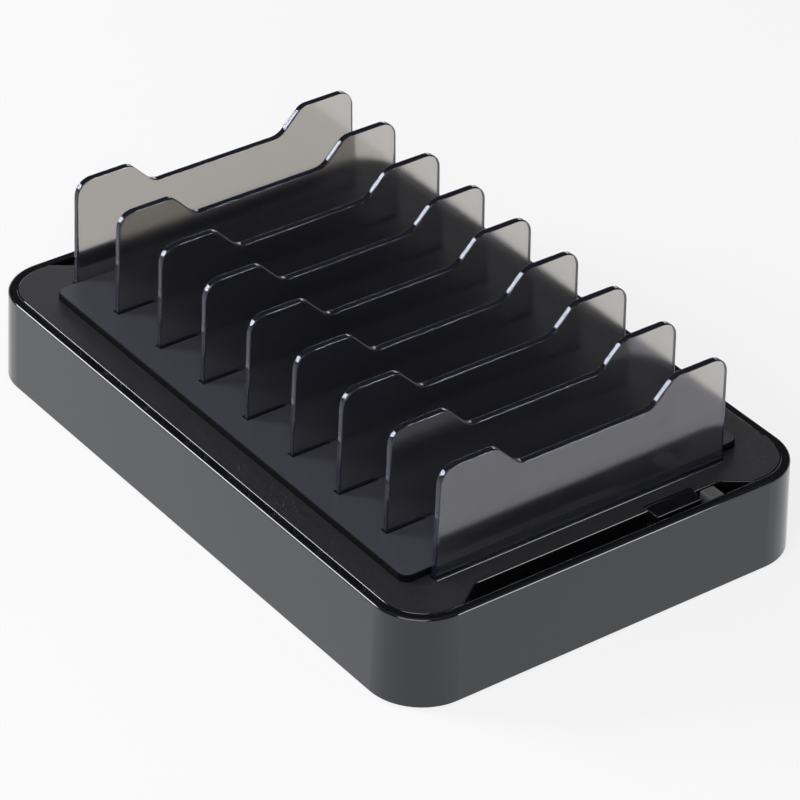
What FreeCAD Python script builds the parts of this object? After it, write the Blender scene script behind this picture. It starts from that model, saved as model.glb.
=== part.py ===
import FreeCAD, Part
import math
import os

from FreeCAD import Vector

# Charging station organizer: a low gloss base with a raised deck, and a row of clear dividers that
# stand in slots, so that phones and tablets can be parked between them while they charge.
# X runs along the dividers, Y along the row with the rear at +Y, and Z is up. The origin is on the
# table, below the middle of the base. All lengths are in millimetres.

# Dividers
divider_count = 9
divider_pitch = 24.15
divider_thickness = 2.3
divider_foot_width = 109.2
divider_top_width = 107.4
divider_rise = 36.1
divider_edge_round = 0.5
notch_depth = 8.8
notch_floor_length = 49.6
notch_mouth_length = 67.0
notch_round = 6.5
ear_round = 6.0
ear_inner_round = 5.0
leg_width = 13.8
leg_depth = 6.5
leg_round = 1.2
slot_side_clearance = 0.35
slot_end_clearance = 0.4
end_slot_clearance = 0.15

# Base wall
end_margin = 18.4
side_margin = 21.9
corner_radius = 17.5
wall_height = 31.2
wall_flare = 0.9
wall_thickness = 3.0
rim_round = 0.9
rim_inner_round = 0.3
ledge_width = 2.0
ledge_height = 2.0
fit_clearance = 0.1
cut_overrun = 5.0
same_place = 1e-6
parallel_share = 0.999

# Top plate, its end troughs and the raised deck
plate_thickness = 2.5
plate_round = 0.5
foot_bead_radius = 0.4
foot_bead_gap = 0.2
trough_width = 6.3
trough_back_length = 92.4
trough_mouth_length = 110.0
trough_round = 4.0
trough_wall = 1.2
pan_headroom = 5.0
deck_rise = 2.4
deck_sunk = 0.8
deck_side_margin = 9.0
deck_end_gap = 0.9
deck_corner_radius = 3.0
deck_round = 0.4

# Bottom cover, feet and the screws that close the base
foot_proud = 1.0
foot_diameter = 14.0
foot_sunk = 0.7
foot_round = 0.3
foot_inset = 29.0
cover_recess = 0.5
cover_thickness = 2.0
boss_inset = 13.5
boss_diameter = 7.0
screw_cup_height = 3.0
screw_cup_wall = 1.4
cover_screw_diameter = 3.0
cover_screw_length = 10.0
cover_screw_head_diameter = 5.6
cover_screw_head_height = 2.0
screw_clearance = 0.05
screw_seat = 1.6
drive_width = 0.9
drive_depth = 0.8
drive_length_share = 0.7
vent_count = 7
vent_pitch = 7.0
vent_width = 2.4
vent_length = 20.0
vent_offset = 33.0
vent_group_offset = 36.0

# Charging ports in the right-hand wall
port_count = 10
port_row_margin = 7.5
port_axis_height = 16.0
socket_width = 13.2
socket_height = 5.8
socket_length = 14.0
socket_wall = 0.35
socket_recess = 0.5
socket_window_clearance = 0.2
tongue_width = 11.1
tongue_thickness = 1.9
tongue_setback = 1.2
tongue_root = 4.0
tongue_roof_gap = 0.5
contact_count = 4
contact_width = 1.1
contact_thickness = 0.25
contact_length = 7.0
contact_pitch = 2.3
bezel_end_margin = 2.0
bezel_height = 12.0
bezel_corner_radius = 2.0

# Circuit boards and their screws
board_thickness = 1.6
post_diameter = 5.5
post_edge = 3.5
board_screw_diameter = 2.5
board_screw_length = 6.0
board_screw_head_diameter = 4.6
board_screw_head_height = 1.6
usb_board_width = 25.0
usb_board_gap = 0.6
usb_post_inner_share = 0.3
chip_length = 6.0
chip_width = 5.0
chip_height = 1.6
chip_edge = 4.5

# Power supply
supply_post_height = 4.0
supply_board_width = 72.0
supply_board_margin = 10.0
supply_board_edge = 7.0
supply_row_gap = 3.5
supply_headroom = 1.6
insulator_thickness = 0.5
insulator_clearance = 0.4
fuse_diameter = 5.2
fuse_length = 20.0
fuse_cap_length = 5.0
fuse_cap_wall = 0.4
choke_diameter = 17.0
choke_bore = 7.5
choke_height_share = 0.5
filter_capacitor_length = 18.0
filter_capacitor_width = 8.5
filter_capacitor_height_share = 0.75
bulk_capacitor_diameter_share = 0.92
bulk_capacitor_length = 30.0
output_capacitor_count = 3
output_capacitor_diameter = 9.0
output_capacitor_height_share = 0.85
output_capacitor_pitch = 13.0
capacitor_round = 0.8
transformer_length = 32.0
transformer_width = 14.0
transformer_window = 6.5
transformer_yoke = 4.0
transformer_winding_reach = 5.0
transformer_winding_gap = 0.3
sink_length = 30.0
sink_spine = 2.4
sink_fin = 6.0
sink_fin_thickness = 1.4
sink_fin_count = 6
sink_height_share = 0.95
transistor_width = 10.0
transistor_thickness = 4.6
transistor_gap = 5.5
transistor_height_share = 0.8

# Mains inlet in the rear wall
inlet_width = 24.0
inlet_height = 13.0
inlet_depth = 20.0
inlet_floor_gap = 1.5
inlet_corner_radius = 1.5
inlet_lobe_radius = 4.3
inlet_waist_height = 6.6
inlet_pin_spacing = 8.6
inlet_pin_diameter = 2.4
inlet_cavity_depth = 13.0
inlet_pin_setback = 2.0
inlet_tail = 3.0

# Power key, its switch and the status light, in the front trough
key_width = 17.5
key_reach = 4.3
key_set_back = 2.0
key_round = 0.5
key_gap = 0.3
key_travel = 1.5
key_body_share = 0.5
key_stem_width = 6.0
key_stem_depth = 3.2
light_end_gap = 2.4
light_key_gap = 2.2
light_width = 5.0
light_gap = 0.5
light_drop = 0.3
light_round = 0.3
light_lens_inset = 0.9
light_lens_depth = 0.3
led_size = 3.0
led_height = 1.2
switch_size = 8.0
switch_wall_gap = 0.15
switch_height = 5.5
plunger_diameter = 3.4
plunger_proud = 2.5
plunger_sunk = 2.0
plunger_clearance = 0.1
switch_board_end = 6.0
switch_board_width = 13.0

# Leads inside the base
power_lead_diameter = 2.2
switch_lead_diameter = 1.2
lead_arch = 6.0
lead_bend = 3.2
mains_lead_spacing = 6.0
mains_lead_end_gap = 9.0
mains_lead_run = 8.0
output_lead_spacing = 3.4
output_lead_gap = 4.4
switch_lead_spacing = 2.6
switch_lead_edge = 2.0
switch_lead_gap = 4.5
lead_edge = 3.0

UP = Vector(0, 0, 1)

# Heights, from the table upwards
wall_bottom = foot_proud
wall_top = wall_bottom + wall_height
cover_bottom = wall_bottom + cover_recess
cover_top = cover_bottom + cover_thickness
cup_top = cover_top + screw_cup_height
plate_top = wall_top
plate_bottom = plate_top - plate_thickness
deck_top = plate_top + deck_rise
deck_bottom = plate_top - deck_sunk
leg_bottom = deck_top - leg_depth
divider_top = deck_top + divider_rise
port_board_top = port_axis_height - socket_height / 2
port_board_bottom = port_board_top - board_thickness
supply_board_bottom = cover_top + supply_post_height
supply_board_top = supply_board_bottom + board_thickness
component_room = leg_bottom - supply_board_top - supply_headroom
inlet_axis_height = cover_top + inlet_floor_gap + inlet_height / 2
pan_bottom = inlet_axis_height + inlet_height / 2 + pan_headroom
trough_floor = pan_bottom + trough_wall
trough_depth = plate_top - trough_floor

# Plan sizes
row_length = (divider_count - 1) * divider_pitch
half_length = row_length / 2 + end_margin
half_width = divider_foot_width / 2 + side_margin
inner_half_length = half_length - wall_thickness
inner_half_width = half_width - wall_thickness
trough_back = inner_half_length - trough_width
trough_slope = (trough_mouth_length - trough_back_length) / 2 / trough_width
deck_half_width = divider_foot_width / 2 + deck_side_margin
deck_half_length = row_length / 2 - divider_thickness / 2 - deck_end_gap
port_row_length = 2 * (half_length - corner_radius - port_row_margin)
port_pitch = port_row_length / port_count
bezel_length = port_row_length + 2 * bezel_end_margin
usb_board_right = inner_half_width - usb_board_gap
usb_board_left = usb_board_right - usb_board_width
socket_mouth = half_width - socket_recess
socket_back = socket_mouth - socket_length
transformer_depth = transformer_width + 2 * transformer_winding_reach
bulk_capacitor_diameter = component_room * bulk_capacitor_diameter_share
supply_rows = [choke_diameter, bulk_capacitor_diameter, transformer_depth, output_capacitor_diameter]
supply_board_length = sum(supply_rows) + (len(supply_rows) - 1) * supply_row_gap + 2 * supply_board_edge
supply_board_left = -(inner_half_width - supply_board_margin)
supply_board_right = supply_board_left + supply_board_width
supply_board_middle = (supply_board_left + supply_board_right) / 2
supply_board_rear = supply_board_length / 2
inlet_back = half_length - inlet_depth
light_offset = trough_back_length / 2 - light_end_gap - light_width / 2
key_offset = light_offset - light_width / 2 - light_key_gap - key_width / 2
key_front = trough_back + key_reach
key_rear = trough_back - key_set_back
key_body_bottom = plate_top - trough_depth * key_body_share
switch_top = port_board_top + switch_height
switch_middle = inner_half_length - switch_wall_gap - switch_size / 2
switch_board_left = key_offset - key_width / 2 - switch_board_end
switch_board_right = light_offset + light_width / 2 + switch_board_end
switch_board_front = inner_half_length - fit_clearance - ledge_width
switch_board_rear = switch_board_front - switch_board_width


def box(x_low, x_high, y_low, y_high, z_low, z_high):
    """A block between two corners."""
    return Part.makeBox(x_high - x_low, y_high - y_low, z_high - z_low, Vector(x_low, y_low, z_low))


def rod(diameter, x, y, z_low, z_high):
    """An upright round bar."""
    return Part.makeCylinder(diameter / 2, z_high - z_low, Vector(x, y, z_low))


def joined(shapes):
    """Overlapping shapes fused into one clean solid."""
    result = shapes[0]
    for shape in shapes[1:]:
        result = result.fuse(shape)
    return result.removeSplitter()


def less(shape, cuts):
    """A shape with each cut taken out of it."""
    for cut in cuts:
        shape = shape.cut(cut)
    return shape


def group(solids):
    """Separate solids that share one node."""
    return Part.makeCompound(solids)


def level_edges(shape, z):
    """The edges that lie in a level plane."""
    return [edge for edge in shape.Edges if all(abs(v.Z - z) < same_place for v in edge.Vertexes)]


def upright_edges(shape):
    """The straight edges that stand upright."""
    found = []
    for edge in shape.Edges:
        ends = [v.Point for v in edge.Vertexes]
        if len(ends) == 2 and abs(ends[0].x - ends[1].x) + abs(ends[0].y - ends[1].y) < same_place:
            found.append(edge)
    return found


def edges_along(shape, axis, places, reach):
    """The straight edges along an axis that pass within reach of one of the places."""
    found = []
    for edge in shape.Edges:
        ends = [v.Point for v in edge.Vertexes]
        if len(ends) < 2 or abs((ends[1] - ends[0]).normalize().dot(axis)) < parallel_share:
            continue
        for place in places:
            offset = ends[0] - place
            if (offset - axis * offset.dot(axis)).Length < reach:
                found.append(edge)
                break
    return found


def rounded_outline(half_x, half_y, radius, z):
    """A level rectangle with round corners, as a closed wire."""
    centre_x = half_x - radius
    centre_y = half_y - radius
    corners = [(centre_x, centre_y), (-centre_x, centre_y), (-centre_x, -centre_y), (centre_x, -centre_y)]
    arcs = []
    for index, (x, y) in enumerate(corners):
        circle = Part.Circle(Vector(x, y, z), UP, radius)
        start = index * math.pi / 2
        arcs.append(Part.ArcOfCircle(circle, start, start + math.pi / 2).toShape())
    edges = []
    for arc, following in zip(arcs, arcs[1:] + arcs[:1]):
        edges.append(arc)
        edges.append(Part.makeLine(arc.Vertexes[-1].Point, following.Vertexes[0].Point))
    return Part.Wire(edges)


def rounded_block(half_x, half_y, radius, z_low, z_high):
    """An upright block with round corners, centred on the origin."""
    face = Part.Face(rounded_outline(half_x, half_y, radius, z_low))
    return face.extrude(UP * (z_high - z_low))


def base_outline(inset, z):
    """The wall's outline at a height, drawn in by an inset: it spreads towards the table."""
    spread = wall_flare * (wall_top - z) / wall_height - inset
    return rounded_outline(half_width + spread, half_length + spread, corner_radius + spread, z)


def base_block(inset, z_low, z_high):
    """The space inside the wall's outline between two heights."""
    return Part.makeLoft([base_outline(inset, z_low), base_outline(inset, z_high)], True, True)


def divider_row():
    """The middle plane of each divider, from the rear to the front."""
    return [row_length / 2 - index * divider_pitch for index in range(divider_count)]


def is_end(index):
    """Whether a divider stands outside the deck, on the plate itself."""
    return index in (0, divider_count - 1)


def corner_places(inset):
    """Four places set in from the base's sides and ends."""
    x = half_width - inset
    y = half_length - inset
    return [(x, y), (-x, y), (-x, -y), (x, -y)]


def usb_posts():
    """Where the port board is screwed down."""
    reach = port_row_length / 2 - post_edge
    x = usb_board_left + post_edge
    inner = port_row_length * usb_post_inner_share
    return [(x, y) for y in (-reach, -inner, inner, reach)]


def supply_posts():
    """Where the supply board is screwed down."""
    xs = (supply_board_left + post_edge, supply_board_right - post_edge)
    ys = (-supply_board_rear + post_edge, supply_board_rear - post_edge)
    return [(x, y) for x in xs for y in ys]


def switch_posts():
    """Where the switch board is screwed down."""
    y = -(switch_board_rear + post_edge)
    return [(switch_board_left + post_edge, y), (switch_board_right - post_edge, y)]


def port_posts():
    """Where the boards at the ports' height are screwed down."""
    return usb_posts() + switch_posts()


def supply_row_middles():
    """The middle of each row of parts on the supply board, from the rear to the front."""
    middles = []
    y = supply_board_rear - supply_board_edge
    for depth in supply_rows:
        middles.append(y - depth / 2)
        y -= depth + supply_row_gap
    return middles


def port_row():
    """The middle of each charging port along the right-hand wall."""
    return [(index - (port_count - 1) / 2) * port_pitch for index in range(port_count)]


def slot(x_middle, y, side_clearance, z_low, z_high):
    """The cut that takes one leg of a divider."""
    half_x = leg_width / 2 + slot_end_clearance
    half_y = divider_thickness / 2 + side_clearance
    return box(x_middle - half_x, x_middle + half_x, y - half_y, y + half_y, z_low, z_high)


def leg_middles():
    """The middle of the two legs along a divider."""
    x = divider_foot_width / 2 - leg_width / 2
    return (-x, x)


def trough_block(side, wall, radius, z_low, z_high):
    """The tapered space of an end trough, grown by a wall, open past the plate's edge."""
    spread = wall * math.hypot(1, trough_slope)
    back_half = trough_mouth_length / 2 - trough_slope * (trough_width + wall) + spread
    front_half = trough_mouth_length / 2 + trough_slope * cut_overrun + spread
    back_y = side * (trough_back - wall)
    front_y = side * (inner_half_length + cut_overrun)
    points = [(-front_half, front_y), (-back_half, back_y), (back_half, back_y), (front_half, front_y)]
    wire = Part.makePolygon([Vector(x, y, z_low) for x, y in points + points[:1]])
    block = Part.Face(wire).extrude(UP * (z_high - z_low))
    places = [Vector(-back_half, back_y, 0), Vector(back_half, back_y, 0)]
    return block.makeFillet(radius, edges_along(block, UP, places, radius / 2))


def make_outer_shell():
    """The gloss wall: a ring with a ledge for the plate, a ledge for the cover and two windows."""
    wall = base_block(0, wall_bottom, wall_top)
    wall = wall.makeFillet(rim_round, level_edges(wall, wall_top))
    pocket = base_block(wall_thickness, plate_bottom, wall_top + cut_overrun)
    wall = wall.cut(pocket)
    wall = less(wall, [
        base_block(wall_thickness, wall_bottom - cut_overrun, cover_top),
        base_block(wall_thickness + ledge_width, wall_bottom - cut_overrun, wall_top + cut_overrun),
        base_block(wall_thickness, cover_top + ledge_height, plate_bottom - ledge_height),
    ])
    pan_half = trough_mouth_length / 2 + trough_wall * math.hypot(1, trough_slope) + fit_clearance
    pan_half += trough_slope * wall_flare
    pan_room = box(-pan_half, pan_half, -half_length, half_length, cover_top + ledge_height, plate_bottom)
    wall = wall.cut(pan_room.common(base_block(wall_thickness, cover_top + ledge_height, plate_bottom)))
    wall = wall.cut(bezel_block(fit_clearance, wall_thickness + cut_overrun, cut_overrun))
    wall = wall.cut(inlet_block(fit_clearance, cut_overrun))
    return wall.makeFillet(rim_inner_round, [edge for edge in level_edges(wall, wall_top) if is_inner(edge)])


def is_inner(edge):
    """Whether a rim edge lies on the plate's side of the rim."""
    middle = edge.valueAt((edge.FirstParameter + edge.LastParameter) / 2)
    tolerance = wall_thickness / 4
    on_side = abs(abs(middle.x) - inner_half_width) < tolerance
    on_end = abs(abs(middle.y) - inner_half_length) < tolerance
    inner_radius = corner_radius - wall_thickness
    corner = Vector(half_width - corner_radius, half_length - corner_radius, 0)
    reach = (Vector(abs(middle.x), abs(middle.y), 0) - corner).Length
    return on_side or on_end or abs(reach - inner_radius) < tolerance


def make_bottom_cover():
    """The floor of the base, with screw cups, board posts, foot recesses and air slots."""
    cover = base_block(wall_thickness + fit_clearance, cover_bottom, cover_top)
    cup_diameter = cover_screw_head_diameter + 2 * (screw_cup_wall + screw_clearance)
    adds = [rod(cup_diameter, x, y, cover_bottom, cup_top) for x, y in corner_places(boss_inset)]
    adds += [rod(post_diameter, x, y, cover_bottom, port_board_bottom) for x, y in port_posts()]
    adds += [rod(post_diameter, x, y, cover_bottom, supply_board_bottom) for x, y in supply_posts()]
    cover = joined([cover] + adds)
    cuts = []
    below = cover_bottom - cut_overrun
    seat = cup_top - screw_seat
    head_bore = cover_screw_head_diameter + 2 * screw_clearance
    shank_bore = cover_screw_diameter + 2 * screw_clearance
    for x, y in corner_places(boss_inset):
        cuts.append(rod(head_bore, x, y, below, seat))
        cuts.append(rod(shank_bore, x, y, cover_bottom, cup_top + cut_overrun))
    for x, y in corner_places(foot_inset):
        cuts.append(rod(foot_diameter + 2 * fit_clearance, x, y, below, cover_bottom + foot_sunk))
    pilot = board_screw_diameter + 2 * screw_clearance
    for x, y in port_posts():
        cuts.append(rod(pilot, x, y, port_board_bottom - board_screw_length, port_board_bottom + cut_overrun))
    for x, y in supply_posts():
        cuts.append(rod(pilot, x, y, cover_top, supply_board_bottom + cut_overrun))
    for group_y in (-vent_group_offset, vent_group_offset):
        for index in range(vent_count):
            y = group_y + (index - (vent_count - 1) / 2) * vent_pitch
            vent = box(vent_offset - vent_length / 2, vent_offset + vent_length / 2,
                       y - vent_width / 2, y + vent_width / 2, below, cover_top + cut_overrun)
            cuts.append(vent)
    return less(cover, cuts)


def make_top_plate():
    """The matte plate with its end troughs, the deck's seat, the leg slots and the screw bosses."""
    inset = wall_thickness + fit_clearance
    plate = base_block(inset, plate_bottom, plate_top)
    mid_plate = plate_bottom + plate_thickness / 2
    hollows = []
    for side in (-1, 1):
        pan = trough_block(side, trough_wall, trough_round + trough_wall, pan_bottom, mid_plate)
        pan = pan.common(base_block(inset, pan_bottom, plate_top))
        hollows.append(trough_block(side, 0, trough_round, trough_floor, plate_top + cut_overrun))
        plate = plate.fuse(pan)
    plate = less(plate.removeSplitter(), hollows)
    plate = plate.makeFillet(plate_round, level_edges(plate, plate_top))
    boss_places = corner_places(boss_inset)
    bosses = [rod(boss_diameter, x, y, cup_top, mid_plate) for x, y in boss_places]
    plate = joined([plate] + bosses + foot_beads())
    pilot = cover_screw_diameter + 2 * screw_clearance
    pilot_top = cup_top + cover_screw_length
    cuts = [rod(pilot, x, y, cup_top - cut_overrun, pilot_top) for x, y in boss_places]
    cuts.append(rounded_block(deck_half_width + fit_clearance, deck_half_length + fit_clearance,
                              deck_corner_radius + fit_clearance, deck_bottom, deck_top))
    for index, y in enumerate(divider_row()):
        clearance = end_slot_clearance if is_end(index) else slot_side_clearance
        cuts += [slot(x, y, clearance, pan_bottom, deck_top) for x in leg_middles()]
    cuts += key_cuts()
    return less(plate, cuts)


def foot_beads():
    """The low half-round beads that run along the outer feet of the end dividers."""
    slot_edge = row_length / 2 + divider_thickness / 2 + end_slot_clearance
    reach = slot_edge + foot_bead_gap + foot_bead_radius
    beads = []
    for side in (-1, 1):
        start = Vector(-divider_foot_width / 2, side * reach, plate_top)
        beads.append(Part.makeCylinder(foot_bead_radius, divider_foot_width, start, Vector(1, 0, 0)))
    return beads


def key_cuts():
    """The notch for the power key, the hole for its stem and the hole for the status light."""
    half = key_width / 2 + key_gap
    notch_low = key_body_bottom - key_travel - key_gap
    notch = box(key_offset - half, key_offset + half, -key_front, -(key_rear - key_gap), notch_low, deck_top)
    stem_x = key_stem_width / 2 + key_gap
    stem_y = key_stem_depth / 2 + key_gap
    stem = box(key_offset - stem_x, key_offset + stem_x, -switch_middle - stem_y, -switch_middle + stem_y,
               pan_bottom - cut_overrun, trough_floor + cut_overrun)
    return [notch, stem, light_block(fit_clearance, pan_bottom - cut_overrun, deck_top)]


def make_divider_deck():
    """The raised deck, set a little into the plate, with the slots for the inner dividers."""
    deck = rounded_block(deck_half_width, deck_half_length, deck_corner_radius, deck_bottom, deck_top)
    deck = deck.makeFillet(deck_round, level_edges(deck, deck_top))
    cuts = []
    for index, y in enumerate(divider_row()):
        if not is_end(index):
            cuts += [slot(x, y, slot_side_clearance, deck_bottom - cut_overrun, deck_top + cut_overrun)
                     for x in leg_middles()]
    return less(deck, cuts)


def make_divider(index, y):
    """A clear divider: two ears with a shallow notch between them, and two legs for the slots."""
    seat = plate_top if is_end(index) else deck_top
    notch_z = divider_top - notch_depth
    half_foot = divider_foot_width / 2
    half_top = divider_top_width / 2
    half_mouth = notch_mouth_length / 2
    half_floor = notch_floor_length / 2
    leg_inner = half_foot - leg_width
    right = [
        (leg_inner, seat), (leg_inner, leg_bottom), (half_foot, leg_bottom), (half_foot, seat),
        (half_top, divider_top), (half_mouth, divider_top), (half_floor, notch_z),
    ]
    left = [(-x, z) for x, z in reversed(right)]
    back = y + divider_thickness / 2
    outline = [Vector(x, back, z) for x, z in right + left]
    across = Vector(0, -divider_thickness, 0)
    panel = Part.Face(Part.makePolygon(outline + outline[:1])).extrude(across)
    along = Vector(0, 1, 0)
    corners = [
        (half_top, divider_top, ear_round), (half_mouth, divider_top, ear_inner_round),
        (half_floor, notch_z, notch_round), (leg_inner, leg_bottom, leg_round),
        (half_foot, leg_bottom, leg_round),
    ]
    for x, z, radius in corners:
        places = [Vector(x, 0, z), Vector(-x, 0, z)]
        panel = panel.makeFillet(radius, edges_along(panel, along, places, divider_edge_round))
    rims = []
    for edge in panel.Edges:
        ends = [v.Point for v in edge.Vertexes]
        on_face = abs(abs(ends[0].y - y) - divider_thickness / 2) < same_place
        level = abs(ends[0].y - ends[-1].y) < same_place
        if on_face and level and max(end.z for end in ends) > seat + divider_edge_round:
            rims.append(edge)
    return panel.makeFillet(divider_edge_round, rims)


def make_power_key():
    """The press key at the plate's front edge, with the stem that reaches its switch."""
    cap = box(key_offset - key_width / 2, key_offset + key_width / 2, -key_front, -key_rear,
              key_body_bottom, plate_top)
    front = [Vector(key_offset, -key_front, plate_top)]
    cap = cap.makeFillet(key_round, edges_along(cap, Vector(1, 0, 0), front, key_round))
    stem = box(key_offset - key_stem_width / 2, key_offset + key_stem_width / 2,
               -switch_middle - key_stem_depth / 2, -switch_middle + key_stem_depth / 2,
               switch_top + plunger_proud, key_body_bottom + key_round)
    return joined([cap, stem])


def make_switch_plunger():
    """The part of the switch that the key presses."""
    low = switch_top - plunger_sunk
    return rod(plunger_diameter, key_offset, -switch_middle, low, switch_top + plunger_proud)


def make_switch_case():
    """The switch on its board, bored for the plunger and its travel."""
    half = switch_size / 2
    case = box(key_offset - half, key_offset + half, -switch_middle - half, -switch_middle + half,
               port_board_top, switch_top)
    bore = rod(plunger_diameter + 2 * plunger_clearance, key_offset, -switch_middle,
               switch_top - plunger_sunk - key_travel - key_gap, switch_top + cut_overrun)
    return case.cut(bore)


def light_block(grow, z_low, z_high):
    """The upright square of the status light."""
    half = light_width / 2 + grow
    return box(light_offset - half, light_offset + half, -(inner_half_length - light_gap + grow),
               -(trough_back + light_gap - grow), z_low, z_high)


def make_status_light():
    """The pale light guide beside the key, with a framed lens on top."""
    top = plate_top - light_drop
    guide = light_block(0, port_board_top + led_height + key_gap, top)
    guide = guide.makeFillet(light_round, level_edges(guide, top))
    lens = light_block(-light_lens_inset, top - light_lens_depth, top + cut_overrun)
    core = light_block(-2 * light_lens_inset, top - light_lens_depth, top + cut_overrun)
    return guide.cut(lens.cut(core))


def make_status_led():
    """The lamp under the light guide."""
    y = -(trough_back + inner_half_length) / 2
    half = led_size / 2
    return box(light_offset - half, light_offset + half, y - half, y + half,
               port_board_top, port_board_top + led_height)


def make_switch_board():
    """The small board under the front trough."""
    board = box(switch_board_left, switch_board_right, -switch_board_front, -switch_board_rear,
                port_board_bottom, port_board_top)
    return board_with_holes(board, switch_posts())


def board_with_holes(board, places):
    """A board drilled for its screws."""
    drill = board_screw_diameter + 2 * screw_clearance
    box_limits = board.BoundBox
    return less(board, [rod(drill, x, y, box_limits.ZMin - cut_overrun, box_limits.ZMax + cut_overrun)
                        for x, y in places])


def bezel_block(grow, thickness, proud):
    """The port strip's block in the right-hand wall."""
    half_y = bezel_length / 2 + grow
    half_z = bezel_height / 2 + grow
    block = box(half_width - thickness, half_width + proud, -half_y, half_y,
                port_axis_height - half_z, port_axis_height + half_z)
    return block.makeFillet(bezel_corner_radius, edges_along(block, Vector(1, 0, 0), [
        Vector(0, sign_y * half_y, port_axis_height + sign_z * half_z)
        for sign_y in (-1, 1) for sign_z in (-1, 1)], bezel_corner_radius))


def make_port_bezel():
    """The strip that frames the charging ports."""
    strip = bezel_block(0, wall_thickness, 0)
    half_y = socket_width / 2 + socket_window_clearance
    half_z = socket_height / 2 + socket_window_clearance
    return less(strip, [box(inner_half_width - cut_overrun, half_width + cut_overrun, y - half_y, y + half_y,
                            port_axis_height - half_z, port_axis_height + half_z) for y in port_row()])


def make_usb_socket(y):
    """The metal shell of one charging port."""
    half_y = socket_width / 2
    half_z = socket_height / 2
    shell = box(socket_back, socket_mouth, y - half_y, y + half_y,
                port_axis_height - half_z, port_axis_height + half_z)
    return shell.cut(socket_space(y, socket_back - cut_overrun, socket_mouth + cut_overrun))


def socket_space(y, x_low, x_high):
    """The space inside a port's metal shell."""
    half_y = socket_width / 2 - socket_wall
    half_z = socket_height / 2 - socket_wall
    return box(x_low, x_high, y - half_y, y + half_y, port_axis_height - half_z, port_axis_height + half_z)


def tongue_bottom():
    """The height of the contacts' side of a port's tongue."""
    return port_axis_height + socket_height / 2 - socket_wall - tongue_roof_gap - tongue_thickness


def make_usb_tongues():
    """The insulating tongue of each port, with the block that closes the shell's back."""
    tongues = []
    low = tongue_bottom()
    for y in port_row():
        root = socket_space(y, socket_back, socket_back + tongue_root)
        blade = box(socket_back, socket_mouth - tongue_setback, y - tongue_width / 2, y + tongue_width / 2,
                    low, low + tongue_thickness)
        tongues.append(joined([root, blade]))
    return group(tongues)


def make_usb_contacts():
    """The spring contacts under each tongue."""
    contacts = []
    high = tongue_bottom()
    start = socket_back + tongue_root
    for y in port_row():
        for index in range(contact_count):
            middle = y + (index - (contact_count - 1) / 2) * contact_pitch
            contacts.append(box(start, start + contact_length,
                                middle - contact_width / 2, middle + contact_width / 2,
                                high - contact_thickness, high))
    return group(contacts)


def make_usb_board():
    """The board that carries the ports."""
    half = port_row_length / 2
    board = box(usb_board_left, usb_board_right, -half, half, port_board_bottom, port_board_top)
    return board_with_holes(board, usb_posts())


def make_port_chips():
    """A charging controller for each pair of ports."""
    row = port_row()
    chips = []
    x = usb_board_left + chip_edge
    for first, second in zip(row[::2], row[1::2]):
        y = (first + second) / 2
        chips.append(box(x, x + chip_width, y - chip_length / 2, y + chip_length / 2,
                         port_board_top, port_board_top + chip_height))
    return group(chips)


def make_supply_board():
    """The board of the built-in power supply."""
    board = box(supply_board_left, supply_board_right, -supply_board_rear, supply_board_rear,
                supply_board_bottom, supply_board_top)
    return board_with_holes(board, supply_posts())


def make_insulating_sheet():
    """The thin sheet that lies on the cover below the supply board."""
    sheet = box(supply_board_left, supply_board_right, -supply_board_rear, supply_board_rear,
                cover_top, cover_top + insulator_thickness)
    hole = post_diameter + 2 * insulator_clearance
    low = cover_top - cut_overrun
    return less(sheet, [rod(hole, x, y, low, cover_top + cut_overrun) for x, y in supply_posts()])


def entry_row_places():
    """The middles along X of the fuse, the choke and the filter capacitor."""
    widths = [fuse_length, choke_diameter, filter_capacitor_length]
    total = sum(widths) + (len(widths) - 1) * supply_row_gap
    x = supply_board_middle - total / 2
    places = []
    for width in widths:
        places.append(x + width / 2)
        x += width + supply_row_gap
    return places


def make_fuse():
    """The fuse tube, lying along X on the board."""
    x = entry_row_places()[0]
    y = supply_row_middles()[0]
    z = supply_board_top + fuse_diameter / 2 + fuse_cap_wall
    length = fuse_length - 2 * fuse_cap_wall
    return Part.makeCylinder(fuse_diameter / 2, length, Vector(x - length / 2, y, z), Vector(1, 0, 0))


def make_fuse_caps():
    """The two metal end caps that hold the fuse on the board."""
    x = entry_row_places()[0]
    y = supply_row_middles()[0]
    radius = fuse_diameter / 2 + fuse_cap_wall
    z = supply_board_top + radius
    caps = []
    for side in (-1, 1):
        end = x + side * fuse_length / 2
        along = Vector(-side, 0, 0)
        caps.append(Part.makeCylinder(radius, fuse_cap_length, Vector(end, y, z), along).cut(make_fuse()))
    return group(caps)


def make_choke():
    """The ring-shaped line choke."""
    x = entry_row_places()[1]
    y = supply_row_middles()[0]
    high = supply_board_top + component_room * choke_height_share
    ring = rod(choke_diameter, x, y, supply_board_top, high)
    ring = ring.cut(rod(choke_bore, x, y, supply_board_top - cut_overrun, high + cut_overrun))
    return ring.makeFillet(capacitor_round, level_edges(ring, high))


def make_filter_capacitor():
    """The boxed capacitor across the mains."""
    x = entry_row_places()[2]
    y = supply_row_middles()[0]
    high = supply_board_top + component_room * filter_capacitor_height_share
    half_x = filter_capacitor_length / 2
    half_y = filter_capacitor_width / 2
    block = box(x - half_x, x + half_x, y - half_y, y + half_y, supply_board_top, high)
    return block.makeFillet(capacitor_round, upright_edges(block) + level_edges(block, high))


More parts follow.
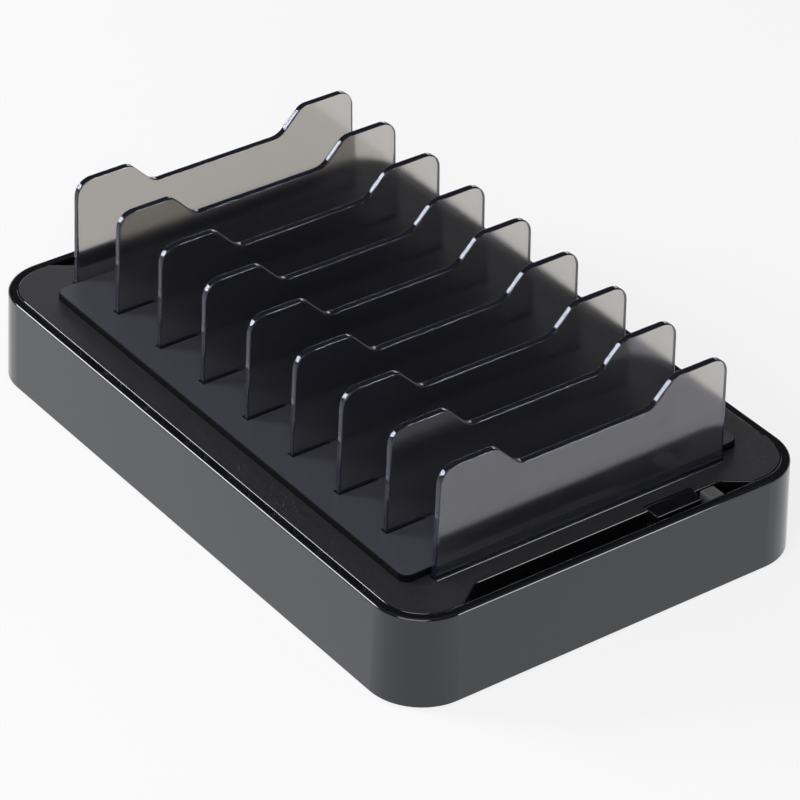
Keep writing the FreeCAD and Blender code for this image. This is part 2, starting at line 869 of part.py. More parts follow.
def make_bulk_capacitor():
    """The large capacitor, lying along X."""
    y = supply_row_middles()[1]
    radius = bulk_capacitor_diameter / 2
    start = Vector(supply_board_middle - bulk_capacitor_length / 2, y, supply_board_top + radius)
    can = Part.makeCylinder(radius, bulk_capacitor_length, start, Vector(1, 0, 0))
    round_edges = [edge for edge in can.Edges if edge.BoundBox.XLength < capacitor_round]
    return can.makeFillet(capacitor_round, round_edges)


def make_output_capacitors():
    """The upright capacitors at the low-voltage end."""
    y = supply_row_middles()[3]
    high = supply_board_top + component_room * output_capacitor_height_share
    cans = []
    for index in range(output_capacitor_count):
        x = supply_board_middle + (index - (output_capacitor_count - 1) / 2) * output_capacitor_pitch
        can = rod(output_capacitor_diameter, x, y, supply_board_top, high)
        cans.append(can.makeFillet(capacitor_round, level_edges(can, high)))
    return group(cans)


def transformer_windows(shrink, reach):
    """The two openings of the core, beside its middle leg, as blocks along Y."""
    y = supply_row_middles()[2]
    middle_leg = transformer_length - 2 * (transformer_window + transformer_yoke)
    blocks = []
    for side in (-1, 1):
        inner = supply_board_middle + side * middle_leg / 2
        outer = inner + side * transformer_window
        low, high = sorted((inner, outer))
        blocks.append(box(low + shrink, high - shrink, y - reach, y + reach,
                          supply_board_top + transformer_yoke + shrink,
                          supply_board_top + component_room - transformer_yoke - shrink))
    return blocks


def make_transformer_core():
    """The ferrite core: a block with an opening on each side of its middle leg."""
    y = supply_row_middles()[2]
    half_x = transformer_length / 2
    half_y = transformer_width / 2
    core = box(supply_board_middle - half_x, supply_board_middle + half_x, y - half_y, y + half_y,
               supply_board_top, supply_board_top + component_room)
    return less(core, transformer_windows(0, transformer_width))


def make_transformer_winding():
    """The taped winding round the core's middle leg."""
    y = supply_row_middles()[2]
    reach = transformer_depth / 2
    coil = transformer_windows(transformer_winding_gap, reach)
    limits = [block.BoundBox for block in coil]
    low_x = min(limit.XMin for limit in limits)
    high_x = max(limit.XMax for limit in limits)
    inner = transformer_width / 2 + transformer_winding_gap
    for side in (-1, 1):
        near, far = sorted((y + side * inner, y + side * reach))
        coil.append(box(low_x, high_x, near, far, limits[0].ZMin, limits[0].ZMax))
    winding = joined(coil)
    corners = [Vector(x, y + side * reach, 0) for x in (low_x, high_x) for side in (-1, 1)]
    return winding.makeFillet(capacitor_round, edges_along(winding, UP, corners, capacitor_round))


def sink_face(side):
    """Where along X a heat sink's flat side is, towards the middle of the board."""
    reach = transformer_length / 2 + transistor_gap + transistor_thickness
    return supply_board_middle + side * reach


def make_heat_sinks():
    """A finned heat sink at each side of the board, beside the transformer."""
    y = supply_row_middles()[2]
    high = supply_board_top + component_room * sink_height_share
    sinks = []
    for side in (-1, 1):
        face = sink_face(side)
        back = face + side * sink_spine
        low, top = sorted((face, back))
        pieces = [box(low, top, y - sink_length / 2, y + sink_length / 2, supply_board_top, high)]
        for index in range(sink_fin_count):
            middle = y + (index / (sink_fin_count - 1) - 1 / 2) * (sink_length - sink_fin_thickness)
            low, top = sorted((face, back + side * sink_fin))
            pieces.append(box(low, top, middle - sink_fin_thickness / 2, middle + sink_fin_thickness / 2,
                              supply_board_top, high))
        sinks.append(joined(pieces))
    return group(sinks)


def make_power_transistors():
    """The power transistor and the rectifier, flat against their heat sinks."""
    y = supply_row_middles()[2]
    high = supply_board_top + component_room * transistor_height_share
    half = transistor_width / 2
    blocks = []
    for side in (-1, 1):
        face = sink_face(side)
        low, top = sorted((face, face - side * transistor_thickness))
        blocks.append(box(low, top, y - half, y + half, supply_board_top, high))
    return group(blocks)


def inlet_block(grow, proud):
    """The mains inlet's block in the rear wall."""
    half_x = inlet_width / 2 + grow
    half_z = inlet_height / 2 + grow
    block = box(-half_x, half_x, inlet_back, half_length + proud,
                inlet_axis_height - half_z, inlet_axis_height + half_z)
    corners = [Vector(sign_x * half_x, 0, inlet_axis_height + sign_z * half_z)
               for sign_x in (-1, 1) for sign_z in (-1, 1)]
    edges = edges_along(block, Vector(0, 1, 0), corners, inlet_corner_radius)
    return block.makeFillet(inlet_corner_radius, edges)


def inlet_pin_places():
    """The two pins along X."""
    return (-inlet_pin_spacing / 2, inlet_pin_spacing / 2)


def bar_along_y(diameter, x, z, y_low, y_high):
    """A round bar along the length of the base."""
    return Part.makeCylinder(diameter / 2, y_high - y_low, Vector(x, y_low, z), Vector(0, 1, 0))


def make_mains_inlet():
    """The two-pin inlet with its figure-of-eight mouth."""
    block = inlet_block(0, 0)
    floor = half_length - inlet_cavity_depth
    mouth = half_length + cut_overrun
    lobe = 2 * inlet_lobe_radius
    cuts = [bar_along_y(lobe, x, inlet_axis_height, floor, mouth) for x in inlet_pin_places()]
    cuts.append(box(-inlet_pin_spacing / 2, inlet_pin_spacing / 2, floor, mouth,
                    inlet_axis_height - inlet_waist_height / 2, inlet_axis_height + inlet_waist_height / 2))
    cuts += [bar_along_y(inlet_pin_diameter, x, inlet_axis_height, inlet_back - cut_overrun, mouth)
             for x in inlet_pin_places()]
    return less(block, cuts)


def make_inlet_pins():
    """The inlet's two pins, with tails for the leads."""
    end = half_length - inlet_pin_setback
    return group([bar_along_y(inlet_pin_diameter, x, inlet_axis_height, inlet_back - inlet_tail, end)
                  for x in inlet_pin_places()])


def make_lead(points, diameter):
    """A lead along straight runs that are joined by tangent arcs."""
    edges = []
    start = points[0]
    for before, corner, after in zip(points, points[1:], points[2:]):
        arriving = (corner - before).normalize()
        leaving = (after - corner).normalize()
        half_turn = arriving.getAngle(leaving) / 2
        reach = lead_bend * math.tan(half_turn)
        enter = corner - arriving * reach
        leave = corner + leaving * reach
        inward = (leaving - arriving).normalize()
        middle = corner + inward * (lead_bend / math.cos(half_turn) - lead_bend)
        edges.append(Part.makeLine(start, enter))
        edges.append(Part.Arc(enter, middle, leave).toShape())
        start = leave
    edges.append(Part.makeLine(start, points[-1]))
    path = Part.Wire(edges)
    section = Part.Wire(Part.makeCircle(diameter / 2, points[0], points[1] - points[0]))
    return path.makePipeShell([section], True, False)


def make_mains_lead(index):
    """One lead from the inlet's tail over the supply board's edge and down to the board."""
    x = inlet_pin_places()[index]
    start_y = inlet_back - inlet_tail
    landing_x = supply_board_right - mains_lead_end_gap + (index - 1) * mains_lead_spacing
    landing_y = supply_board_rear - lead_edge
    points = [
        Vector(x, start_y, inlet_axis_height),
        Vector(x, start_y - mains_lead_run, inlet_axis_height),
        Vector(landing_x, landing_y, supply_board_top + lead_arch),
        Vector(landing_x, landing_y, supply_board_top),
    ]
    return make_lead(points, power_lead_diameter)


def make_output_lead(side):
    """One lead from the supply board up and over to the port board."""
    pair_middle = supply_row_middles()[2] - sink_length / 2 - output_lead_gap
    y = pair_middle + side * output_lead_spacing / 2
    arch = port_board_top + lead_arch
    start_x = supply_board_right - lead_edge
    end_x = usb_board_left + lead_edge
    points = [
        Vector(start_x, y, supply_board_top),
        Vector(start_x, y, arch),
        Vector(end_x, y, arch),
        Vector(end_x, y, port_board_top),
    ]
    return make_lead(points, power_lead_diameter)


def make_switch_leads():
    """The leads from the switch board to the port board."""
    arch = port_board_top + lead_arch
    leads = []
    for index in (0, 1):
        step = (1 - index) * switch_lead_spacing
        start_x = switch_board_right - switch_lead_edge - step
        start_y = -(switch_board_front - lead_edge)
        end_x = socket_back - switch_lead_gap - step
        end_y = -(port_row_length - port_pitch) / 2
        points = [
            Vector(start_x, start_y, port_board_top),
            Vector(start_x, start_y, arch),
            Vector(end_x, end_y, arch),
            Vector(end_x, end_y, port_board_top),
        ]
        leads.append(make_lead(points, switch_lead_diameter))
    return group(leads)


def make_screw(x, y, seat, direction, shank_length, diameter, head_diameter, head_height):
    """A pan-head screw whose head bears on a seat, with its shank along a direction."""
    seat_point = Vector(x, y, seat)
    shank = Part.makeCylinder(diameter / 2, shank_length, seat_point, UP * direction)
    head = Part.makeCylinder(head_diameter / 2, head_height, seat_point, UP * -direction)
    face = seat - direction * head_height
    low, high = sorted((face, face + direction * drive_depth))
    half = head_diameter * drive_length_share / 2
    cross = [box(x - half, x + half, y - drive_width / 2, y + drive_width / 2, low, high),
             box(x - drive_width / 2, x + drive_width / 2, y - half, y + half, low, high)]
    return less(joined([shank, head]), cross)


def make_cover_screws():
    """The four screws that clamp the cover, the wall and the plate together."""
    seat = cup_top - screw_seat
    sizes = (cover_screw_length, cover_screw_diameter, cover_screw_head_diameter, cover_screw_head_height)
    return group([make_screw(x, y, seat, 1, *sizes) for x, y in corner_places(boss_inset)])


def make_board_screws():
    """The screws that hold the three boards on their posts."""
    seats = [(x, y, port_board_top) for x, y in port_posts()]
    seats += [(x, y, supply_board_top) for x, y in supply_posts()]
    supply_shank = board_thickness + supply_post_height
    screws = []
    for x, y, seat in seats:
        shank = supply_shank if seat == supply_board_top else board_screw_length
        screws.append(make_screw(x, y, seat, -1, shank, board_screw_diameter, board_screw_head_diameter,
                                 board_screw_head_height))
    return group(screws)


def make_rubber_feet():
    """The four round feet, sunk a little into the cover."""
    feet = []
    for x, y in corner_places(foot_inset):
        foot = rod(foot_diameter, x, y, 0, cover_bottom + foot_sunk)
        feet.append(foot.makeFillet(foot_round, level_edges(foot, 0)))
    return group(feet)


def build_parts():
    """Every piece of the organizer, by node name."""
    parts = {
        "outer_shell": make_outer_shell(),
        "bottom_cover": make_bottom_cover(),
        "rubber_feet": make_rubber_feet(),
        "cover_screws": make_cover_screws(),
        "top_plate": make_top_plate(),
        "divider_deck": make_divider_deck(),
        "power_key": make_power_key(),
        "switch_plunger": make_switch_plunger(),
        "switch_case": make_switch_case(),
        "switch_board": make_switch_board(),
        "status_light": make_status_light(),
        "status_led": make_status_led(),
        "port_bezel": make_port_bezel(),
        "usb_tongues": make_usb_tongues(),
        "usb_contacts": make_usb_contacts(),
        "usb_board": make_usb_board(),
        "port_chips": make_port_chips(),
        "supply_board": make_supply_board(),
        "insulating_sheet": make_insulating_sheet(),
        "fuse_tube": make_fuse(),
        "fuse_caps": make_fuse_caps(),
        "line_choke": make_choke(),
        "filter_capacitor": make_filter_capacitor(),
        "bulk_capacitor": make_bulk_capacitor(),
        "output_capacitors": make_output_capacitors(),
        "transformer_core": make_transformer_core(),
        "transformer_winding": make_transformer_winding(),
        "heat_sinks": make_heat_sinks(),
        "power_transistors": make_power_transistors(),
        "board_screws": make_board_screws(),
        "mains_inlet": make_mains_inlet(),
        "inlet_pins": make_inlet_pins(),
        "live_lead": make_mains_lead(0),
        "neutral_lead": make_mains_lead(1),
        "positive_lead": make_output_lead(-1),
        "negative_lead": make_output_lead(1),
        "switch_leads": make_switch_leads(),
    }
    for index, y in enumerate(divider_row()):
        parts["divider_%d" % (index + 1)] = make_divider(index, y)
    for index, y in enumerate(port_row()):
        parts["usb_socket_%02d" % (index + 1)] = make_usb_socket(y)
    return parts


os.makedirs("parts", exist_ok=True)
for name, shape in build_parts().items():
    shape.exportStep("parts/%s.step" % name)
    print(name, len(shape.Solids), "valid" if shape.isValid() else "NOT VALID", round(shape.Volume, 2))
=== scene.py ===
"""A charging station organizer: its finishes, small visible pieces, studio and camera.

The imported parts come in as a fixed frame, in metres. Each class below dresses one sub-assembly,
and models the pieces that need more detail than the frame's own solids have.
"""

import logging
import math
from dataclasses import dataclass
from enum import Enum
from typing import Any, Callable, Optional, Union

import bmesh
import bpy
from mathutils import Matrix, Vector

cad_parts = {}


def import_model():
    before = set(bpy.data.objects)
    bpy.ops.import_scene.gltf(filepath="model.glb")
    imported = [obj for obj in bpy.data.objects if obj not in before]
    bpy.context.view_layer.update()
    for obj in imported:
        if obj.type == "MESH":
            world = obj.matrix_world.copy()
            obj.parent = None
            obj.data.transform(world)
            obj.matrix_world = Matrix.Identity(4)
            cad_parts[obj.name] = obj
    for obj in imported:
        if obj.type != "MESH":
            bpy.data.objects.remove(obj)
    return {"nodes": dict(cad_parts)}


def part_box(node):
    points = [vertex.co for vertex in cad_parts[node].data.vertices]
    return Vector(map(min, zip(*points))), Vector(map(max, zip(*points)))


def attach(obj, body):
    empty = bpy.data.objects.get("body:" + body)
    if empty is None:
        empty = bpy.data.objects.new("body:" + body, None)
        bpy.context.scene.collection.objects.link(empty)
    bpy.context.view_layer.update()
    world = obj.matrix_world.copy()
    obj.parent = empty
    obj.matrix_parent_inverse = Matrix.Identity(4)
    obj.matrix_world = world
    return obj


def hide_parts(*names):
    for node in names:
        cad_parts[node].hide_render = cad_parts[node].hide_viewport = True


Colour = tuple[float, float, float]
Number = Union["Signal", float]
PlaceTest = Callable[[Vector, Vector], bool]

LOG = logging.getLogger("organizer")

GLOSS_BLACK: Colour = (0.004, 0.004, 0.005)
WHITE: Colour = (1.0, 1.0, 1.0)
NOISE_MEAN = 0.5
# The scale at which a wave texture has one band to a metre.
WAVE_SCALE = 0.314
# How near to a plane, in metres, a part of a mesh counts as lying on it.
ON_PLANE = 1e-5
# The least component of a direction that counts as along an axis, and of a normal as square to a plane.
ALONG = 0.9
SQUARE = 0.99


class Element(Enum):
    """What a selection in a mesh is made of."""

    EDGE = "EDGE"
    FACE = "FACE"


class Body(Enum):
    """The moving bodies that new pieces ride on."""

    HOUSING = "housing"
    KEY = "power_key"


class Axis(Enum):
    """The axes of the shared frame."""

    X = 0
    Y = 1
    Z = 2


class Signal:
    """A socket of a shader tree, whose arithmetic adds Math nodes."""

    def __init__(self, bench: "NodeBench", socket: bpy.types.NodeSocket) -> None:
        """Wraps one output socket of a bench's tree."""
        self.bench = bench
        self.socket = socket

    def _maths(self, operation: str, first: Number, second: Number) -> "Signal":
        """Adds one Math node on two values."""
        return self.bench.node("ShaderNodeMath", {"operation": operation}, {0: first, 1: second})

    def __add__(self, other: Number) -> "Signal":
        """The sum with another value."""
        return self._maths("ADD", self, other)

    def __radd__(self, other: Number) -> "Signal":
        """The sum with a number on the left."""
        return self._maths("ADD", other, self)

    def __sub__(self, other: Number) -> "Signal":
        """The difference from another value."""
        return self._maths("SUBTRACT", self, other)

    def __rsub__(self, other: Number) -> "Signal":
        """The difference of a number on the left."""
        return self._maths("SUBTRACT", other, self)

    def __mul__(self, other: Number) -> "Signal":
        """The product with another value."""
        return self._maths("MULTIPLY", self, other)

    def __rmul__(self, other: Number) -> "Signal":
        """The product with a number on the left."""
        return self._maths("MULTIPLY", other, self)

    def __gt__(self, other: Number) -> "Signal":
        """One where this value is the larger, else zero."""
        return self._maths("GREATER_THAN", self, other)

    def __lt__(self, other: Number) -> "Signal":
        """One where this value is the smaller, else zero."""
        return self._maths("LESS_THAN", self, other)

    def between(self, low: float, high: float) -> "Signal":
        """Zero below the low value, one above the high value, and even between them."""
        return self.bench.node("ShaderNodeMapRange", {}, {"Value": self, "From Min": low, "From Max": high})

    def weighed(self, other: "Signal", share: float) -> "Signal":
        """The sum of this signal by a share and another one by the rest."""
        return self * share + other * (1.0 - share)

    def round_one(self, spread: float) -> "Signal":
        """A factor that wanders round one as this noise does round its mean."""
        return (1.0 - NOISE_MEAN * spread) + self * spread


class NodeBench:
    """A node tree under construction, with the few node patterns that the finishes share."""

    def __init__(self, tree: bpy.types.NodeTree) -> None:
        """Empties a tree and keeps it."""
        self.tree = tree
        self.tree.nodes.clear()

    def node(self, kind: str, settings: Optional[dict[str, Any]] = None,
             sockets: Optional[dict[Any, Any]] = None, output: Union[int, str] = 0) -> Signal:
        """Adds one node.

        Args:
            kind: The node's type.
            settings: Its settings, set before its sockets; "stops" are a ramp's stops.
            sockets: Values or signals for its inputs, by name or number.
            output: The output that is wanted.

        Returns:
            The wanted output as a signal.
        """
        made = self.tree.nodes.new(kind)
        for name, value in (settings or {}).items():
            if name == "stops":
                self._set_stops(made.color_ramp, value)
            else:
                setattr(made, name, value)
        for key, value in (sockets or {}).items():
            if isinstance(value, Signal):
                self.tree.links.new(value.socket, made.inputs[key])
            else:
                made.inputs[key].default_value = value
        return Signal(self, made.outputs[output] if made.outputs else None)

    @staticmethod
    def _set_stops(ramp: bpy.types.ColorRamp, stops: list[tuple[float, float]]) -> None:
        """Gives a ramp its grey stops.

        Args:
            ramp: The ramp to fill.
            stops: A place and a grey value for each stop.
        """
        while len(ramp.elements) < len(stops):
            ramp.elements.new(1.0)
        for element, (place, grey) in zip(ramp.elements, stops):
            element.position = place
            element.color = (grey, grey, grey, 1.0)

    def place(self) -> Signal:
        """The surface's own place, in metres."""
        return self.node("ShaderNodeTexCoord", output="Object")

    def drawn(self, axis: Axis, draw: float) -> Signal:
        """The surface's own place with one axis scaled, so that patterns on it are drawn out.

        Args:
            axis: The axis that is scaled.
            draw: Its factor; a small one makes long patterns.

        Returns:
            The scaled place.
        """
        scale = [1.0, 1.0, 1.0]
        scale[axis.value] = draw
        return self.node("ShaderNodeMapping", {}, {"Vector": self.place(), "Scale": scale})

    def along(self, vector: Signal, axis: Axis) -> Signal:
        """One coordinate of a vector."""
        return self.node("ShaderNodeSeparateXYZ", {}, {0: vector}, axis.value)

    def normal(self, axis: Axis) -> Signal:
        """One coordinate of the surface's normal."""
        return self.along(self.node("ShaderNodeNewGeometry", output="Normal"), axis)

    def noise(self, vector: Signal, size: float, detail: float = 2.0) -> Signal:
        """Soft noise with patches of about a given size.

        Args:
            vector: Where the noise is read.
            size: The patches' size in metres.
            detail: How many finer layers it has.

        Returns:
            The noise, about 0.5 on average.
        """
        return self.node("ShaderNodeTexNoise", {},
                         {"Vector": vector, "Scale": 1.0 / size, "Detail": detail})

    def blend(self, share: Number, first: Any, second: Any) -> Signal:
        """A mix of two colours.

        Args:
            share: How much of the second colour shows.
            first: A colour or a signal.
            second: A colour or a signal.

        Returns:
            The mixed colour.
        """
        return self.node("ShaderNodeMix", {"data_type": "RGBA"},
                         {0: share, 6: full(first), 7: full(second)}, 2)

    def bump(self, height: Signal, relief: float) -> Signal:
        """A normal from a height signal whose full range is a relief in metres."""
        return self.node("ShaderNodeBump", {}, {"Height": height, "Distance": relief})


def full(colour: Any) -> Any:
    """A colour with its alpha, or a signal as it is."""
    return colour if isinstance(colour, Signal) else (*colour, 1.0)


def toned(colour: Colour, factor: float) -> Colour:
    """A colour made lighter or darker by a factor."""
    return tuple(min(part * factor, 1.0) for part in colour)


def tones(colour: Colour, spread: float) -> tuple[Colour, Colour]:
    """A darker and a lighter tone of a colour."""
    return toned(colour, 1.0 - spread), toned(colour, 1.0 + spread)


@dataclass(frozen=True)
class Finish:
    """What every finish has: a name and a principled surface with constant and varying sockets."""

    name: str

    def material(self) -> bpy.types.Material:
        """The finish as a material, made once.

        Returns:
            The material of this name.
        """
        found = bpy.data.materials.get(self.name)
        if found is not None:
            return found
        made = bpy.data.materials.new(self.name)
        made.use_nodes = True
        bench = NodeBench(made.node_tree)
        bench.node("ShaderNodeOutputMaterial", {}, {"Surface": self.surface(bench), **self.inside(bench)})
        return made

    def surface(self, bench: NodeBench) -> Signal:
        """The surface's shader."""
        return bench.node("ShaderNodeBsdfPrincipled", {}, self.sockets(bench))

    def sockets(self, bench: NodeBench) -> dict[str, Any]:
        """The principled shader's sockets; each finish gives its own."""
        raise NotImplementedError

    def inside(self, bench: NodeBench) -> dict[str, Signal]:
        """The volume behind the surface, if the finish has one."""
        return {}


@dataclass(frozen=True)
class Moulded(Finish):
    """Moulded plastic: a colour that wanders a little, and a fine grain."""

    colour: Colour
    roughness: float
    grain: float = 0.0004
    grain_detail: float = 2.0
    relief: float = 0.00001
    patch: float = 0.012
    patch_detail: float = 3.0
    patch_share: float = 0.6
    mottle: float = 0.12
    wander: float = 0.06
    ior: float = 1.5

    def sockets(self, bench: NodeBench) -> dict[str, Any]:
        """The sockets of grained plastic.

        Args:
            bench: The tree that takes the nodes.

        Returns:
            Values and signals by socket.
        """
        place = bench.place()
        cloud = bench.noise(place, self.patch, self.patch_detail)
        fine = bench.noise(place, self.grain, self.grain_detail)
        shade = cloud.weighed(fine, self.patch_share)
        return {
            "Base Color": bench.blend(shade, *tones(self.colour, self.mottle)),
            "Roughness": self.roughness + (cloud - NOISE_MEAN) * self.wander,
            "Normal": bench.bump(fine, self.relief),
            "IOR": self.ior,
        }


@dataclass(frozen=True)
class TexturedTop(Moulded):
    """Black plastic with a leathery texture on its level faces, and polished sides and edges; where the
    side gloss is almost off, as on the deck, the near-black sides are painted shade.
    """

    grain: float = 0.0009
    grain_detail: float = 3.0
    relief: float = 0.00006
    patch: float = 0.0025
    patch_detail: float = 4.0
    patch_share: float = 0.5
    mottle: float = 0.45
    wander: float = 0.14
    # The sides' colour: the plate's own polished black, and painted shade on the deck, whose side gloss is
    # almost off.
    side_colour_and_painted_shade: Colour = GLOSS_BLACK
    side_roughness: float = 0.08
    side_gloss: float = 0.5
    side_smear: float = 0.005
    smear_spread: float = 0.4
    level_from: float = 0.93
    level_full: float = 0.985

    def surface(self, bench: NodeBench) -> Signal:
        """A textured shader where the face is level, and a smooth one elsewhere.

        Args:
            bench: The tree that takes the nodes.

        Returns:
            The mixed shader.
        """
        textured = super().surface(bench)
        smear = bench.noise(bench.place(), self.side_smear)
        # On the deck this near-black side shader is painted shade on the deck's sides.
        smooth = bench.node("ShaderNodeBsdfPrincipled", {}, {
            "Base Color": full(self.side_colour_and_painted_shade),
            "Roughness": self.side_roughness * smear.round_one(self.smear_spread),
            "Specular IOR Level": self.side_gloss,
        })
        level = bench.normal(Axis.Z).between(self.level_from, self.level_full)
        return bench.node("ShaderNodeMixShader", {}, {0: level, 1: smooth, 2: textured})


@dataclass(frozen=True)
class Polished(Finish):
    """Piano-black plastic: a smooth surface with a faint waviness and a trace of dust."""

    colour: Colour
    roughness: float
    ior: float
    coat: float
    tint: Colour = (0.86, 0.90, 1.0)
    wave: float = 0.009
    relief: float = 0.000006
    smear: float = 0.036
    smear_roughness: float = 0.05
    dust: float = 0.0009
    dust_level: float = 0.72
    dust_share: float = 0.35
    dust_roughness: float = 0.1
    dust_colour: Colour = (0.05, 0.05, 0.055)

    def sockets(self, bench: NodeBench) -> dict[str, Any]:
        """The sockets of polished plastic.

        Args:
            bench: The tree that takes the nodes.

        Returns:
            Values and signals by socket.
        """
        place = bench.place()
        swell = bench.noise(place, self.wave, detail=1.0)
        specks = bench.noise(place, self.dust) > self.dust_level
        smear = bench.noise(place, self.smear, detail=3.0)
        return {
            "Base Color": bench.blend(specks * self.dust_share, self.colour, self.dust_colour),
            "Roughness": self.roughness + smear * self.smear_roughness + specks * self.dust_roughness,
            "Normal": bench.bump(swell, self.relief),
            "IOR": self.ior,
            "Specular Tint": full(self.tint),
            "Coat Weight": self.coat,
            "Coat Roughness": self.roughness,
        }


@dataclass(frozen=True)
class Smoked(Finish):
    """Smoked clear plastic, which darkens what is seen through it by its thickness.

    The broad faces, which look along Y, are satin under a coat, and the edges are polished.
    """

    tint: Colour
    density: float
    haze: float = 0.005
    haze_colour: Colour = (0.97, 0.98, 1.0)
    gloss_tint: Colour = (0.76, 0.80, 1.0)
    roughness: float = 0.12
    edge_roughness: float = 0.04
    broad_from: float = 0.8
    broad_full: float = 0.97
    ior: float = 1.585
    coat: float = 1.0
    coat_ior: float = 1.6
    bloom: float = 0.04
    bloom_colour: Colour = (0.26, 0.36, 1.0)
    bloom_roughness: float = 0.6
    smear: float = 0.025
    smear_spread: float = 0.4
    wave: float = 0.02
    relief: float = 0.000003

    def sockets(self, bench: NodeBench) -> dict[str, Any]:
        """The sockets of clear plastic with a faint smear.

        Args:
            bench: The tree that takes the nodes.

        Returns:
            Values and signals by socket.
        """
        place = bench.place()
        cloud = bench.noise(place, self.smear, detail=3.0)
        swell = bench.noise(place, self.wave, detail=1.0)
        tilt = bench.normal(Axis.Y)
        broad = (tilt * tilt).between(self.broad_from, self.broad_full)
        satin = self.roughness * cloud.round_one(self.smear_spread)
        return {
            "Base Color": full(self.haze_colour),
            "Roughness": self.edge_roughness + broad * (satin - self.edge_roughness),
            "Normal": bench.bump(swell, self.relief),
            "IOR": self.ior,
            "Specular Tint": full(self.gloss_tint),
            "Transmission Weight": 1.0 - self.haze,
            "Coat Weight": broad * self.coat,
            "Coat Roughness": self.roughness,
            "Coat IOR": self.coat_ior,
            "Sheen Weight": self.bloom,
            "Sheen Tint": full(self.bloom_colour),
            "Sheen Roughness": self.bloom_roughness,
        }

    def inside(self, bench: NodeBench) -> dict[str, Signal]:
        """The smoke in the plastic."""
        return {"Volume": bench.node("ShaderNodeVolumeAbsorption", {},
                                     {"Color": full(self.tint), "Density": self.density})}


@dataclass(frozen=True)
class Metal(Finish):
    """Drawn or turned metal with fine lines along one axis."""

    colour: Colour
    roughness: float
    axis: Axis = Axis.X
    line: float = 0.00025
    line_draw: float = 0.06
    line_spread: float = 0.2
    relief: float = 0.000004
    stain: float = 0.006
    stain_tone: float = 0.82
    stain_spread: float = 0.1

    def sockets(self, bench: NodeBench) -> dict[str, Any]:
        """The sockets of metal with drawn lines.

        Args:
            bench: The tree that takes the nodes.

        Returns:
            Values and signals by socket.
        """
        lines = bench.noise(bench.drawn(self.axis, self.line_draw), self.line)
        stain = bench.noise(bench.place(), self.stain, detail=3.0)
        wander = (lines - NOISE_MEAN) * self.line_spread + (stain - NOISE_MEAN) * self.stain_spread
        return {
            "Base Color": bench.blend(stain, toned(self.colour, self.stain_tone), self.colour),
            "Metallic": 1.0,
            "Roughness": self.roughness + wander,
            "Normal": bench.bump(lines, self.relief),
        }


@dataclass(frozen=True)
class Rubber(Finish):
    """Soft dark rubber with a dusty grain."""

    colour: Colour
    roughness: float = 0.75
    spread: float = 0.2
    grain: float = 0.0005
    relief: float = 0.00004
    dust: float = 0.004
    dust_share: float = 0.7
    dust_tone: float = 2.2

    def sockets(self, bench: NodeBench) -> dict[str, Any]:
        """The sockets of rubber.

        Args:
            bench: The tree that takes the nodes.

        Returns:
            Values and signals by socket.
        """
        place = bench.place()
        fine = bench.noise(place, self.grain, detail=4.0)
        dust = bench.noise(place, self.dust, detail=3.0) * self.dust_share
        return {
            "Base Color": bench.blend(dust, self.colour, toned(self.colour, self.dust_tone)),
            "Roughness": self.roughness + fine * self.spread,
            "Normal": bench.bump(fine, self.relief),
        }


@dataclass(frozen=True)
class CircuitBoard(Finish):
    """A lacquered circuit board with tracks and pads under the lacquer."""

    lacquer: Colour
    track: Colour
    pad: Colour
    cell: float = 0.0028
    scatter: float = 0.7
    track_width: float = 0.07
    pad_radius: float = 0.16
    pad_polish: float = 0.1
    relief: float = 0.00003
    weave: float = 0.0006
    weave_tone: float = 0.2
    roughness: float = 0.32
    spread: float = 0.12

    def sockets(self, bench: NodeBench) -> dict[str, Any]:
        """The sockets of a board: tracks along cell edges, round pads at cell middles.

        Args:
            bench: The tree that takes the nodes.

        Returns:
            Values and signals by socket.
        """
        place = bench.place()
        cells = {"Vector": place, "Scale": 1.0 / self.cell, "Randomness": self.scatter}
        edges = bench.node("ShaderNodeTexVoronoi", {"feature": "DISTANCE_TO_EDGE"}, cells)
        middles = bench.node("ShaderNodeTexVoronoi", {"feature": "F1"}, cells)
        tracks = edges < self.track_width
        pads = middles < self.pad_radius
        weave = bench.noise(place, self.weave)
        lacquer = bench.blend(weave, *tones(self.lacquer, self.weave_tone))
        covered = bench.blend(tracks, lacquer, self.track)
        return {
            "Base Color": bench.blend(pads, covered, self.pad),
            "Roughness": self.roughness + weave * self.spread - pads * self.pad_polish,
            "Normal": bench.bump(tracks + pads, self.relief),
        }


@dataclass(frozen=True)
class Wound(Finish):
    """Turns of wire or tape that lie side by side along one axis."""

    colour: Colour
    gap: Colour
    axis: Axis
    pitch: float
    unevenness: float = 0.4
    relief_share: float = 0.3
    stain: float = 0.004
    stain_tone: float = 0.75
    roughness: float = 0.45
    crest_polish: float = 0.15

    def sockets(self, bench: NodeBench) -> dict[str, Any]:
        """The sockets of a winding.

        Args:
            bench: The tree that takes the nodes.

        Returns:
            Values and signals by socket.
        """
        place = bench.place()
        bands = {"Vector": place, "Scale": WAVE_SCALE / self.pitch, "Distortion": self.unevenness}
        turns = bench.node("ShaderNodeTexWave", {"bands_direction": self.axis.name}, bands, "Fac")
        stain = bench.noise(place, self.stain)
        shade = bench.blend(stain, toned(self.colour, self.stain_tone), self.colour)
        return {
            "Base Color": bench.blend(turns, self.gap, shade),
            "Roughness": self.roughness - turns * self.crest_polish,
            "Normal": bench.bump(turns, self.relief_share * self.pitch),
        }


